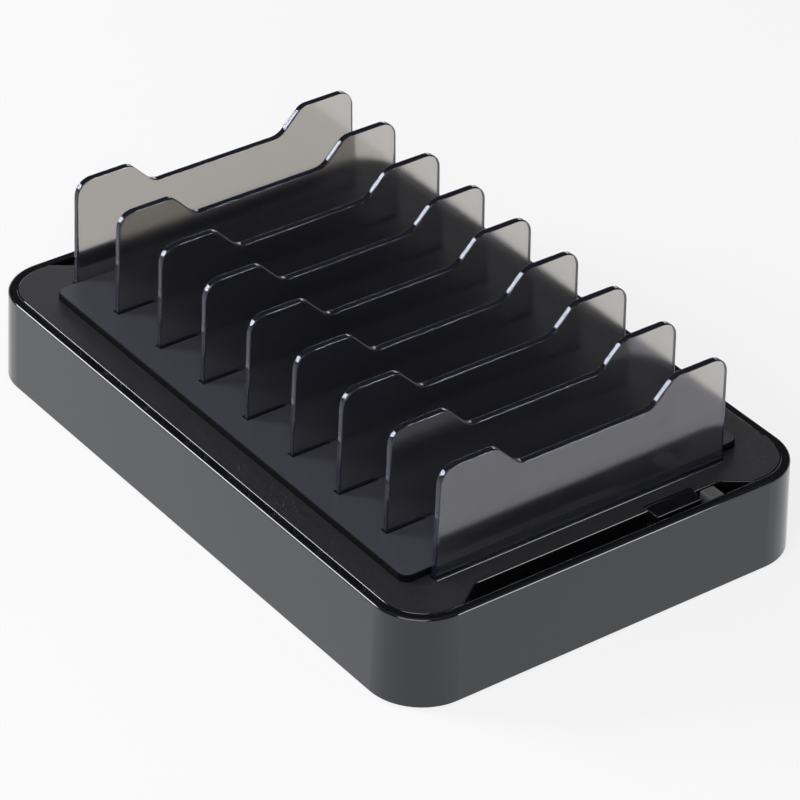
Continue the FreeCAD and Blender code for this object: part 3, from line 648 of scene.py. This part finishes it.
@dataclass(frozen=True)
class Sleeved(Finish):
    """A printed sleeve: a base colour with a paler stripe along one side."""

    colour: Colour
    stripe: Colour
    axis: Axis
    middle: float
    half_width: float
    stripe_share: float = 0.8
    crease: float = 0.0015
    crease_tone: float = 0.8
    relief: float = 0.00003
    roughness: float = 0.35
    spread: float = 0.15

    def sockets(self, bench: NodeBench) -> dict[str, Any]:
        """The sockets of a shrunk-on sleeve.

        Args:
            bench: The tree that takes the nodes.

        Returns:
            Values and signals by socket.
        """
        place = bench.place()
        off = bench.along(place, self.axis) - self.middle
        mask = (off < self.half_width) * (off > -self.half_width)
        crease = bench.noise(place, self.crease)
        sleeve = bench.blend(crease, toned(self.colour, self.crease_tone), self.colour)
        return {
            "Base Color": bench.blend(mask * self.stripe_share, sleeve, self.stripe),
            "Roughness": self.roughness + crease * self.spread,
            "Normal": bench.bump(crease, self.relief),
        }


@dataclass(frozen=True)
class ClearTube(Finish):
    """A clear glass tube with faint drawing lines along X."""

    tint: Colour
    line: float = 0.0005
    line_draw: float = 0.05
    line_share: float = 0.3
    line_tone: float = 0.85
    relief: float = 0.000004
    roughness: float = 0.03
    spread: float = 0.05
    ior: float = 1.5
    clearness: float = 0.9

    def sockets(self, bench: NodeBench) -> dict[str, Any]:
        """The sockets of clear glass.

        Args:
            bench: The tree that takes the nodes.

        Returns:
            Values and signals by socket.
        """
        lines = bench.noise(bench.drawn(Axis.X, self.line_draw), self.line)
        return {
            "Base Color": bench.blend(lines * self.line_share, self.tint, toned(self.tint, self.line_tone)),
            "Roughness": self.roughness + lines * self.spread,
            "Normal": bench.bump(lines, self.relief),
            "IOR": self.ior,
            "Transmission Weight": self.clearness,
        }


@dataclass(frozen=True)
class Paper(Finish):
    """A pressed insulating sheet with short fibres along Y."""

    colour: Colour
    fibre: float = 0.0005
    fibre_draw: float = 0.15
    fibre_share: float = 0.6
    cloud: float = 0.008
    tone: float = 0.75
    relief: float = 0.00003
    roughness: float = 0.7
    spread: float = 0.2

    def sockets(self, bench: NodeBench) -> dict[str, Any]:
        """The sockets of a fibrous sheet.

        Args:
            bench: The tree that takes the nodes.

        Returns:
            Values and signals by socket.
        """
        fibres = bench.noise(bench.drawn(Axis.Y, self.fibre_draw), self.fibre, detail=4.0)
        shade = fibres.weighed(bench.noise(bench.place(), self.cloud), self.fibre_share)
        return {
            "Base Color": bench.blend(shade, toned(self.colour, self.tone), self.colour),
            "Roughness": self.roughness + fibres * self.spread,
            "Normal": bench.bump(fibres, self.relief),
        }


@dataclass(frozen=True)
class PaleFloor(Moulded):
    """The studio floor, which takes the object's shadow and looks pale, also in gloss and through glass."""

    glow: float = 0.8

    def surface(self, bench: NodeBench) -> Signal:
        """The floor's own shader, lifted towards white where it is seen.

        Args:
            bench: The tree that takes the nodes.

        Returns:
            The mixed shader.
        """
        matte = super().surface(bench)
        white = bench.node("ShaderNodeEmission", {}, {"Color": full(WHITE), "Strength": 1.0})
        camera = bench.node("ShaderNodeLightPath", output="Is Camera Ray")
        through = bench.node("ShaderNodeLightPath", output="Is Transmission Ray")
        gloss = bench.node("ShaderNodeLightPath", output="Is Glossy Ray")
        seen = camera + through + gloss > 0.0
        return bench.node("ShaderNodeMixShader", {}, {0: seen * self.glow, 1: matte, 2: white})


SHELL_GLOSS = Polished("gloss_black_wall", GLOSS_BLACK, roughness=0.04, ior=1.57, coat=0.3)
PLATE_MATTE = TexturedTop("textured_black_plate", (0.0220, 0.0215, 0.0258), roughness=0.40, side_gloss=0.8)
# The deck's near-black, almost glossless sides are painted shade; its top keeps its own grey.
DECK_MATTE = TexturedTop("textured_grey_deck", (0.050, 0.050, 0.067), roughness=0.5, side_gloss=0.02,
                         relief=0.00003, mottle=0.1)
SMOKED_CLEAR = Smoked("smoked_clear_divider", (0.33, 0.28, 0.20), density=400.0)
KEY_BLACK = Polished("gloss_black_key", GLOSS_BLACK, roughness=0.06, ior=1.5, coat=0.0)
LIGHT_MILKY = Moulded("milky_light_guide", (0.15, 0.15, 0.152), roughness=0.35, grain=0.0006,
                      relief=0.000006, patch=0.003)
COVER_PLASTIC = Moulded("ribbed_cover_plastic", (0.020, 0.020, 0.022), roughness=0.55, grain=0.0008,
                        relief=0.00008)
BEZEL_PLASTIC = Moulded("satin_port_bezel", (0.018, 0.018, 0.020), roughness=0.4)
INLET_PLASTIC = Moulded("inlet_plastic", (0.016, 0.016, 0.017), roughness=0.42)
CHIP_PLASTIC = Moulded("chip_resin", (0.022, 0.022, 0.023), roughness=0.5, grain=0.00025)
SWITCH_PLASTIC = Moulded("switch_case_resin", (0.03, 0.03, 0.032), roughness=0.5)
PLUNGER_PLASTIC = Moulded("plunger_resin", (0.62, 0.60, 0.55), roughness=0.4)
TONGUE_PLASTIC = Moulded("port_tongue_white", (0.72, 0.72, 0.70), roughness=0.45)
LAMP_RESIN = Moulded("lamp_resin", (0.80, 0.78, 0.62), roughness=0.3, grain=0.0004, relief=0.000005,
                     patch=0.001, mottle=0.2)
FOOT_RUBBER = Rubber("foot_rubber", (0.014, 0.014, 0.014))
SCREW_STEEL = Metal("zinc_screw", (0.62, 0.62, 0.60), roughness=0.34, axis=Axis.Z)
SOCKET_STEEL = Metal("port_shell_steel", (0.66, 0.66, 0.67), roughness=0.26)
CONTACT_METAL = Metal("gilt_contact", (0.86, 0.64, 0.28), roughness=0.22)
PIN_BRASS = Metal("plated_brass_pin", (0.78, 0.70, 0.50), roughness=0.24, axis=Axis.Y)
SINK_ALUMINIUM = Metal("milled_aluminium", (0.74, 0.75, 0.76), roughness=0.36, axis=Axis.Z)
BOARD = CircuitBoard("lacquered_board", lacquer=(0.012, 0.070, 0.028), track=(0.030, 0.150, 0.060),
                     pad=(0.60, 0.60, 0.56))
FERRITE = Moulded("ferrite", (0.030, 0.029, 0.028), roughness=0.55, grain=0.0005, relief=0.00003,
                  patch=0.002, mottle=0.35)
CAPACITOR_BOX = Moulded("capacitor_box", (0.55, 0.42, 0.05), roughness=0.4)
INSULATOR = Paper("insulating_sheet", (0.50, 0.52, 0.44))
FUSE_GLASS = ClearTube("fuse_glass", (0.95, 0.97, 0.96))
CHOKE_WIRE = Wound("choke_copper", (0.62, 0.24, 0.08), gap=(0.05, 0.02, 0.01), axis=Axis.Z, pitch=0.0009)
WINDING_TAPE = Wound("winding_tape", (0.70, 0.50, 0.10), gap=(0.38, 0.24, 0.04), axis=Axis.Z, pitch=0.0022)
LEAD_BROWN = Moulded("brown_lead", (0.10, 0.035, 0.012), roughness=0.45)
LEAD_BLUE = Moulded("blue_lead", (0.02, 0.08, 0.35), roughness=0.45)
LEAD_RED = Moulded("red_lead", (0.42, 0.02, 0.015), roughness=0.45)
LEAD_BLACK = Moulded("black_lead", (0.012, 0.012, 0.012), roughness=0.45)
LEAD_GREY = Moulded("grey_lead", (0.20, 0.20, 0.21), roughness=0.45)


class Workpiece:
    """A mesh under the modelling operators, from a primitive to a finished piece."""

    def __init__(self, name: str) -> None:
        """Takes the primitive that was just added, applies its place and names it.

        Args:
            name: The piece's name.
        """
        bpy.ops.object.transform_apply(location=True, rotation=True, scale=True)
        self.item: bpy.types.Object = bpy.context.active_object
        self.item.name = name
        self.item.data.name = name

    @classmethod
    def block(cls, name: str, low: Vector, high: Vector) -> "Workpiece":
        """A block between two corners.

        Args:
            name: The piece's name.
            low: Its lowest corner.
            high: Its highest corner.

        Returns:
            The new workpiece.
        """
        bpy.ops.object.select_all(action="DESELECT")
        bpy.ops.mesh.primitive_cube_add(size=1.0, location=(low + high) / 2, scale=high - low)
        return cls(name)

    @classmethod
    def drum(cls, name: str, foot: Vector, radius: float, height: float, sides: int) -> "Workpiece":
        """An upright round block.

        Args:
            name: The piece's name.
            foot: The middle of its lower face.
            radius: Its radius.
            height: Its height.
            sides: How many sides stand round it.

        Returns:
            The new workpiece.
        """
        bpy.ops.object.select_all(action="DESELECT")
        bpy.ops.mesh.primitive_cylinder_add(vertices=sides, radius=radius, depth=height,
                                            location=foot + Vector((0.0, 0.0, height / 2)))
        return cls(name)

    def _activate(self) -> None:
        """Makes this the only selected object."""
        bpy.ops.object.select_all(action="DESELECT")
        self.item.select_set(True)
        bpy.context.view_layer.objects.active = self.item

    def edit(self, element: Element, test: PlaceTest, *steps: Callable[[], Any]) -> "Workpiece":
        """Selects part of the mesh and runs operators on it.

        Args:
            element: Whether edges or faces are selected.
            test: Takes the middle and the direction of an edge, or the normal of a face.
            steps: The operators, called in order.

        Returns:
            This workpiece.
        """
        self._activate()
        bpy.ops.object.mode_set(mode="EDIT")
        bpy.ops.mesh.select_mode(type=element.value)
        bpy.ops.mesh.select_all(action="DESELECT")
        mesh = bmesh.from_edit_mesh(self.item.data)
        if element is Element.FACE:
            for face in mesh.faces:
                face.select_set(test(face.calc_center_median(), face.normal))
        else:
            for edge in mesh.edges:
                first, last = edge.verts[0].co, edge.verts[1].co
                if test((first + last) / 2, (last - first).normalized()):
                    edge.select_set(True)
        bmesh.update_edit_mesh(self.item.data)
        for step in steps:
            step()
        bpy.ops.object.mode_set(mode="OBJECT")
        return self

    def join(self, other: "Workpiece") -> "Workpiece":
        """Takes another workpiece's mesh into this one.

        Args:
            other: The workpiece that is used up.

        Returns:
            This workpiece.
        """
        self._activate()
        other.item.select_set(True)
        bpy.ops.object.join()
        return self

    def smooth(self, angle: float = 35.0) -> "Workpiece":
        """Shades the mesh smooth, keeps edges sharper than an angle, and weights the normals.

        Args:
            angle: The angle in degrees.

        Returns:
            This workpiece.
        """
        self._activate()
        bpy.ops.object.shade_smooth_by_angle(angle=math.radians(angle))
        modifier = self.item.modifiers.new("weighted", "WEIGHTED_NORMAL")
        modifier.keep_sharp = True
        bpy.ops.object.modifier_apply(modifier=modifier.name)
        return self

    def copy(self, name: str, shift: Vector) -> "Workpiece":
        """A copy with its own mesh, moved by a step.

        Args:
            name: The copy's name.
            shift: How far it moves.

        Returns:
            The copy.
        """
        self._activate()
        bpy.ops.object.duplicate(linked=False)
        bpy.ops.transform.translate(value=shift)
        return Workpiece(name)

    def place(self, finish: Finish, body: Body, slot: str, *nodes: str) -> None:
        """Finishes the piece: its material, body and the frame nodes that it stands for.

        Args:
            finish: Its finish.
            body: The body that it rides on.
            slot: A material slot's name; not used.
            nodes: The frame's nodes that it replaces.
        """
        self.item.data.materials.clear()
        self.item.data.materials.append(finish.material())
        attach(self.item, body.value)
        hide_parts(*nodes)
        LOG.info("%s stands for %s", self.item.name, ", ".join(nodes))


def bevel(width: float, segments: int) -> Callable[[], Any]:
    """A step that rounds the selected edges."""
    return lambda: bpy.ops.mesh.bevel(offset_type="OFFSET", offset=width, segments=segments,
                                      profile=0.5, affect="EDGES")


def inset(width: float) -> Callable[[], Any]:
    """A step that insets the selected faces together."""
    return lambda: bpy.ops.mesh.inset(thickness=width, depth=0.0, use_individual=False)


def extrude(move: Vector) -> Callable[[], Any]:
    """A step that extrudes the selected faces along a move."""
    return lambda: bpy.ops.mesh.extrude_region_move(TRANSFORM_OT_translate={"value": move})


def shift(move: Vector) -> Callable[[], Any]:
    """A step that moves what is selected."""
    return lambda: bpy.ops.transform.translate(value=move)


@dataclass
class Frame:
    """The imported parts, which keep their shapes and take finishes."""

    nodes: dict[str, bpy.types.Object]

    def dress(self, finishes: dict[str, Finish]) -> None:
        """Gives nodes their finishes.

        Args:
            finishes: The finish of each node, by the node's name.
        """
        for name, finish in finishes.items():
            for slot in self.nodes[name].material_slots:
                slot.material = finish.material()
            LOG.info("%s dressed as %s", name, finish.name)


@dataclass
class BaseHousing:
    """The wall, plate, deck and cover of the base, with its feet and screws."""

    foot_radius: float = 0.007
    foot_round: float = 0.0007
    foot_rim: float = 0.0016
    foot_recess: float = 0.0005
    foot_reach: tuple[float, float] = (0.0475, 0.086)
    foot_sides: int = 64

    def build(self, frame: Frame) -> None:
        """Dresses the housing and models its feet.

        Args:
            frame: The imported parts.
        """
        frame.dress({
            "outer_shell": SHELL_GLOSS,
            "top_plate": PLATE_MATTE,
            "divider_deck": DECK_MATTE,
            "bottom_cover": COVER_PLASTIC,
            "cover_screws": SCREW_STEEL,
        })
        self._feet()

    def _feet(self) -> None:
        """Models one foot with a rounded, hollowed face and copies it to the other corners."""
        low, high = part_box("rubber_feet")
        across, along = self.foot_reach
        foot = Workpiece.drum("foot_1", Vector((-across, -along, low.z)), self.foot_radius,
                              high.z - low.z, self.foot_sides)
        foot.edit(Element.EDGE, lambda at, way: at.z < low.z + ON_PLANE, bevel(self.foot_round, segments=4))
        foot.edit(Element.FACE, lambda at, way: way.z < -SQUARE and at.z < low.z + ON_PLANE,
                  inset(self.foot_rim), extrude(Vector((0.0, 0.0, self.foot_recess))))
        foot.smooth()
        steps = [(2 * across, 0.0), (0.0, 2 * along), (2 * across, 2 * along)]
        copies = [foot.copy(f"foot_{index}", Vector((*step, 0.0))) for index, step in enumerate(steps, 2)]
        for piece in [foot, *copies]:
            piece.place(FOOT_RUBBER, Body.HOUSING, "foot_rubber", "rubber_feet")


@dataclass
class DividerRow:
    """The nine smoked clear dividers."""

    count: int = 9

    def build(self, frame: Frame) -> None:
        """Dresses the dividers."""
        frame.dress({f"divider_{index}": SMOKED_CLEAR for index in range(1, self.count + 1)})


@dataclass
class KeyAndLight:
    """The power key and the status light in the front trough, with the switch below them."""

    cap_round: float = 0.0005
    cap_corner: float = 0.0004
    cap_body: float = 0.0040
    stem_width: float = 0.0060
    stem_depth: float = 0.0032
    light_round: float = 0.0003
    lens_inset: float = 0.0009
    lens_depth: float = 0.0003
    lens_share: float = 0.9

    def build(self, frame: Frame) -> None:
        """Dresses the switch and models the key cap and the light window.

        Args:
            frame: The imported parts.
        """
        frame.dress({
            "switch_plunger": PLUNGER_PLASTIC,
            "switch_case": SWITCH_PLASTIC,
            "switch_board": BOARD,
            "status_led": LAMP_RESIN,
        })
        self._key()
        self._light()

    def _key(self) -> None:
        """Models the key: a cap with rounded top edges and a stem under its middle."""
        low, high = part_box("power_key")
        cap_low = Vector((low.x, low.y, high.z - self.cap_body))
        key = Workpiece.block("key_cap", cap_low, high)
        key.edit(Element.EDGE, lambda at, way: abs(way.z) > ALONG, bevel(self.cap_corner, segments=3))
        key.edit(Element.EDGE, lambda at, way: at.z > high.z - ON_PLANE, bevel(self.cap_round, segments=4))
        middle = (low + high) / 2
        half = Vector((self.stem_width / 2, self.stem_depth / 2, 0.0))
        stem_y = middle.y - self.cap_round
        stem_low = Vector((middle.x, stem_y, low.z)) - half
        stem_high = Vector((middle.x, stem_y, cap_low.z + self.cap_round)) + half
        stem = Workpiece.block("key_stem", stem_low, stem_high)
        stem.edit(Element.EDGE, lambda at, way: abs(way.z) > ALONG, bevel(self.cap_corner, segments=2))
        key.join(stem).smooth()
        key.place(KEY_BLACK, Body.KEY, "key_plastic", "power_key")

    def _light(self) -> None:
        """Models the light guide with a framed lens on its top."""
        low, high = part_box("status_light")
        light = Workpiece.block("light_window", low, high)
        light.edit(Element.EDGE, lambda at, way: at.z > high.z - ON_PLANE,
                   bevel(self.light_round, segments=3))

        def on_top(at: Vector, way: Vector) -> bool:
            """Whether a face lies in the top plane."""
            return way.z > SQUARE and at.z > high.z - ON_PLANE

        light.edit(Element.FACE, on_top, inset(self.lens_inset - self.light_round), inset(self.lens_inset))
        middle = (low + high) / 2
        core_x = (high.x - low.x) / 2 - 2 * self.lens_inset
        core_y = (high.y - low.y) / 2 - 2 * self.lens_inset

        def in_groove(at: Vector, way: Vector) -> bool:
            """Whether a face lies in the groove between frame and lens.

            Args:
                at: The face's middle.
                way: Its normal.

            Returns:
                True for a face of the groove.
            """
            off_x, off_y = abs(at.x - middle.x), abs(at.y - middle.y)
            inner = off_x < core_x * self.lens_share and off_y < core_y * self.lens_share
            outer = off_x > core_x + self.lens_inset or off_y > core_y + self.lens_inset
            return on_top(at, way) and not inner and not outer

        light.edit(Element.FACE, in_groove, extrude(Vector((0.0, 0.0, -self.lens_depth))))
        light.smooth()
        light.place(LIGHT_MILKY, Body.HOUSING, "light_guide", "status_light")


@dataclass
class PortRow:
    """The ten charging ports in the right-hand wall, with their bezel, board and chips."""

    count: int = 10
    sheet: float = 0.00035
    corner: float = 0.0006
    lip: float = 0.00012
    tab_width: float = 0.0022
    tab_length: float = 0.0055
    tab_set_back: float = 0.0022
    tab_spread: float = 0.0027
    tab_rise: float = 0.00042
    tab_foot_share: float = 0.5
    tab_top_share: float = 1.6
    tab_end_share: float = 0.9

    def build(self, frame: Frame) -> None:
        """Dresses the port row and models its metal shells.

        Args:
            frame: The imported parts.
        """
        frame.dress({
            "port_bezel": BEZEL_PLASTIC,
            "usb_tongues": TONGUE_PLASTIC,
            "usb_contacts": CONTACT_METAL,
            "usb_board": BOARD,
            "port_chips": CHIP_PLASTIC,
        })
        self._shells()

    def _shells(self) -> None:
        """Models one open shell with spring tabs and copies it along the row."""
        low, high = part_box("usb_socket_01")
        first = Workpiece.block("port_shell_01", low, high)
        first.edit(Element.EDGE, lambda at, way: abs(way.x) > ALONG, bevel(self.corner, segments=4))
        first.edit(Element.FACE, lambda at, way: abs(way.x) > SQUARE, inset(self.sheet),
                   bpy.ops.mesh.bridge_edge_loops)
        for side in (-1, 1):
            first.join(self._tab(low, high, side))
        first.smooth()
        shells = [first]
        for index in range(2, self.count + 1):
            other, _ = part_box(f"usb_socket_{index:02d}")
            shells.append(first.copy(f"port_shell_{index:02d}", other - low))
        for index, shell in enumerate(shells, 1):
            shell.place(SOCKET_STEEL, Body.HOUSING, "socket_steel", f"usb_socket_{index:02d}")

    def _tab(self, low: Vector, high: Vector, side: int) -> Workpiece:
        """Models a spring tab that rises from a shell's floor.

        Args:
            low: The shell's lowest corner.
            high: Its highest corner.
            side: Which of the two tabs, -1 or 1.

        Returns:
            The tab.
        """
        middle = (low.y + high.y) / 2 + side * self.tab_spread
        front = high.x - self.tab_set_back
        foot, top = (low.z + share * self.sheet for share in (self.tab_foot_share, self.tab_top_share))
        corner_low = Vector((front - self.tab_length, middle - self.tab_width / 2, foot))
        corner_high = Vector((front, middle + self.tab_width / 2, top))
        end = front - self.tab_end_share * self.tab_length
        tab = Workpiece.block("port_tab", corner_low, corner_high)
        tab.edit(Element.FACE, lambda at, way: way.x < -ALONG, shift(Vector((0.0, 0.0, self.tab_rise))))
        tab.edit(Element.EDGE, lambda at, way: at.x < end and abs(way.y) > ALONG,
                 bevel(self.lip, segments=2))
        return tab


@dataclass
class PowerSupply:
    """The boards, parts and leads inside the base, and the mains inlet."""

    stripe: float = 0.0016
    stripe_colour: Colour = (0.55, 0.55, 0.52)
    bulk_colour: Colour = (0.015, 0.020, 0.045)
    output_colour: Colour = (0.012, 0.030, 0.022)

    def build(self, frame: Frame) -> None:
        """Dresses everything inside the base.

        Args:
            frame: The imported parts.
        """
        frame.dress({
            "supply_board": BOARD,
            "board_screws": SCREW_STEEL,
            "insulating_sheet": INSULATOR,
            "fuse_tube": FUSE_GLASS,
            "fuse_caps": CONTACT_METAL,
            "line_choke": CHOKE_WIRE,
            "filter_capacitor": CAPACITOR_BOX,
            "transformer_core": FERRITE,
            "transformer_winding": WINDING_TAPE,
            "heat_sinks": SINK_ALUMINIUM,
            "power_transistors": CHIP_PLASTIC,
            "bulk_capacitor": self._sleeve("bulk_capacitor", self.bulk_colour),
            "output_capacitors": self._sleeve("output_capacitors", self.output_colour),
            "mains_inlet": INLET_PLASTIC,
            "inlet_pins": PIN_BRASS,
            "live_lead": LEAD_BROWN,
            "neutral_lead": LEAD_BLUE,
            "positive_lead": LEAD_RED,
            "negative_lead": LEAD_BLACK,
            "switch_leads": LEAD_GREY,
        })

    def _sleeve(self, name: str, colour: Colour) -> Sleeved:
        """The sleeve of a capacitor, with a stripe along its middle.

        Args:
            name: The capacitor's node.
            colour: The sleeve's colour.

        Returns:
            The finish.
        """
        low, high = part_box(name)
        middle = (low.y + high.y) / 2
        return Sleeved(f"{name}_sleeve", colour, self.stripe_colour, Axis.Y, middle, self.stripe)


@dataclass
class Softbox:
    """A rectangular studio lamp that faces the object, with its reach about along an axis."""

    name: str
    place: Vector
    axis: Vector
    reach: float
    width: float
    radiance: float

    def build(self, target: Vector) -> None:
        """Adds the lamp.

        Args:
            target: What it faces.
        """
        data = bpy.data.lights.new(self.name, "AREA")
        data.shape = "RECTANGLE"
        data.size = self.reach
        data.size_y = self.width
        data.energy = self.radiance * math.pi * self.reach * self.width
        lamp = bpy.data.objects.new(self.name, data)
        lamp.matrix_world = facing(self.place, self.axis, self.place - target)
        bpy.context.scene.collection.objects.link(lamp)
        LOG.info("lamp %s", self.name)


def facing(place: Vector, right: Vector, back: Vector) -> Matrix:
    """The matrix of a lamp or camera.

    Args:
        place: Where it stands.
        right: About where its right side points.
        back: Where its back points.

    Returns:
        The matrix, with axes square to each other.
    """
    back = back.normalized()
    up = back.cross(right).normalized()
    turn = Matrix((up.cross(back), up, back)).transposed()
    return Matrix.Translation(place) @ turn.to_4x4()


LAMPS = (
    Softbox("back_left_panel", place=Vector((-0.87, 0.87, 0.60)), axis=Vector((-0.72, 0.0, 0.69)),
            reach=0.55, width=0.56, radiance=13.0),
    Softbox("front_left_panel", place=Vector((-0.85, -0.65, 0.80)), axis=Vector((0.65, -0.85, 0.0)),
            reach=1.10, width=1.10, radiance=2.9),
    Softbox("front_right_strip", place=Vector((0.65, -1.155, 0.33)), axis=Vector((0.0, 0.276, 0.961)),
            reach=0.60, width=0.17, radiance=8.5),
    Softbox("low_back_strip", place=Vector((0.65, 1.10, 0.30)), axis=Vector((0.86, -0.50, 0.0)),
            reach=1.20, width=0.24, radiance=2.5),
)


@dataclass
class Studio:
    """A pale floor, soft lamps and a dim surrounding."""

    floor_size: float = 12.0
    floor_colour: Colour = (0.93, 0.93, 0.93)
    target: Vector = Vector((0.0, 0.0, 0.03))
    sky_stops: tuple[tuple[float, float], ...] = (
        (0.0, 0.80), (0.12, 0.50), (0.25, 0.12), (0.32, 0.05), (0.70, 0.06), (0.85, 0.20), (1.0, 0.25))

    def build(self) -> None:
        """Builds the floor, the lamps and the surrounding."""
        self._floor()
        for lamp in LAMPS:
            lamp.build(self.target)
        self._sky()

    def _floor(self) -> None:
        """Lays the floor, a plain sheet with a faint unevenness in its tone."""
        bpy.ops.object.select_all(action="DESELECT")
        bpy.ops.mesh.primitive_plane_add(size=self.floor_size)
        floor = bpy.context.active_object
        floor.name = "studio_floor"
        finish = PaleFloor("studio_floor", self.floor_colour, roughness=0.8, grain=0.002, relief=0.0,
                           patch=0.2, mottle=0.01)
        floor.data.materials.append(finish.material())

    def _sky(self) -> None:
        """Lights the surrounding by height: pale low down, dim above it, bright overhead."""
        world = bpy.data.worlds.new("studio")
        world.use_nodes = True
        bpy.context.scene.world = world
        bench = NodeBench(world.node_tree)
        way = bench.node("ShaderNodeTexCoord", output="Generated")
        height = bench.along(way, Axis.Z)
        glow = bench.node("ShaderNodeValToRGB", {"stops": list(self.sky_stops)}, {"Fac": height})
        light = bench.node("ShaderNodeBackground", {}, {"Color": glow, "Strength": 1.0})
        bench.node("ShaderNodeOutputWorld", {}, {"Surface": light})


@dataclass
class PhotoCamera:
    """The camera at the photograph's place, turned by azimuth, elevation and roll."""

    place: Vector = Vector((-0.684063, -0.913100, 0.786236))
    azimuth: float = -37.0186
    elevation: float = 33.8608
    roll: float = 1.5024
    lens: float = 196.257
    sensor: float = 36.0

    def build(self) -> None:
        """Adds the camera and makes it the scene's own."""
        turns = (self.azimuth, self.elevation, self.roll)
        azimuth, elevation, roll = (math.radians(turn) for turn in turns)
        level = Vector((math.cos(azimuth), math.sin(azimuth), 0.0))
        flat = math.cos(elevation)
        back = Vector((math.sin(azimuth) * flat, -math.cos(azimuth) * flat, math.sin(elevation)))
        rise = back.cross(level)
        data = bpy.data.cameras.new("photo_camera")
        data.lens = self.lens
        data.sensor_width = self.sensor
        data.sensor_fit = "HORIZONTAL"
        camera = bpy.data.objects.new("photo_camera", data)
        camera.matrix_world = facing(self.place, level * math.cos(roll) + rise * math.sin(roll), back)
        bpy.context.scene.collection.objects.link(camera)
        bpy.context.scene.camera = camera
        LOG.info("camera with a lens of %.1f mm", self.lens)


def main() -> None:
    """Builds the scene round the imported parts."""
    logging.basicConfig(level=logging.INFO, format="%(name)s: %(message)s")
    frame = Frame(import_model()["nodes"])
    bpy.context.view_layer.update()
    bpy.context.scene.view_settings.view_transform = "Standard"
    for assembly in (BaseHousing(), DividerRow(), KeyAndLight(), PortRow(), PowerSupply()):
        assembly.build(frame)
    Studio().build()
    PhotoCamera().build()


if __name__ == "__main__":
    main()
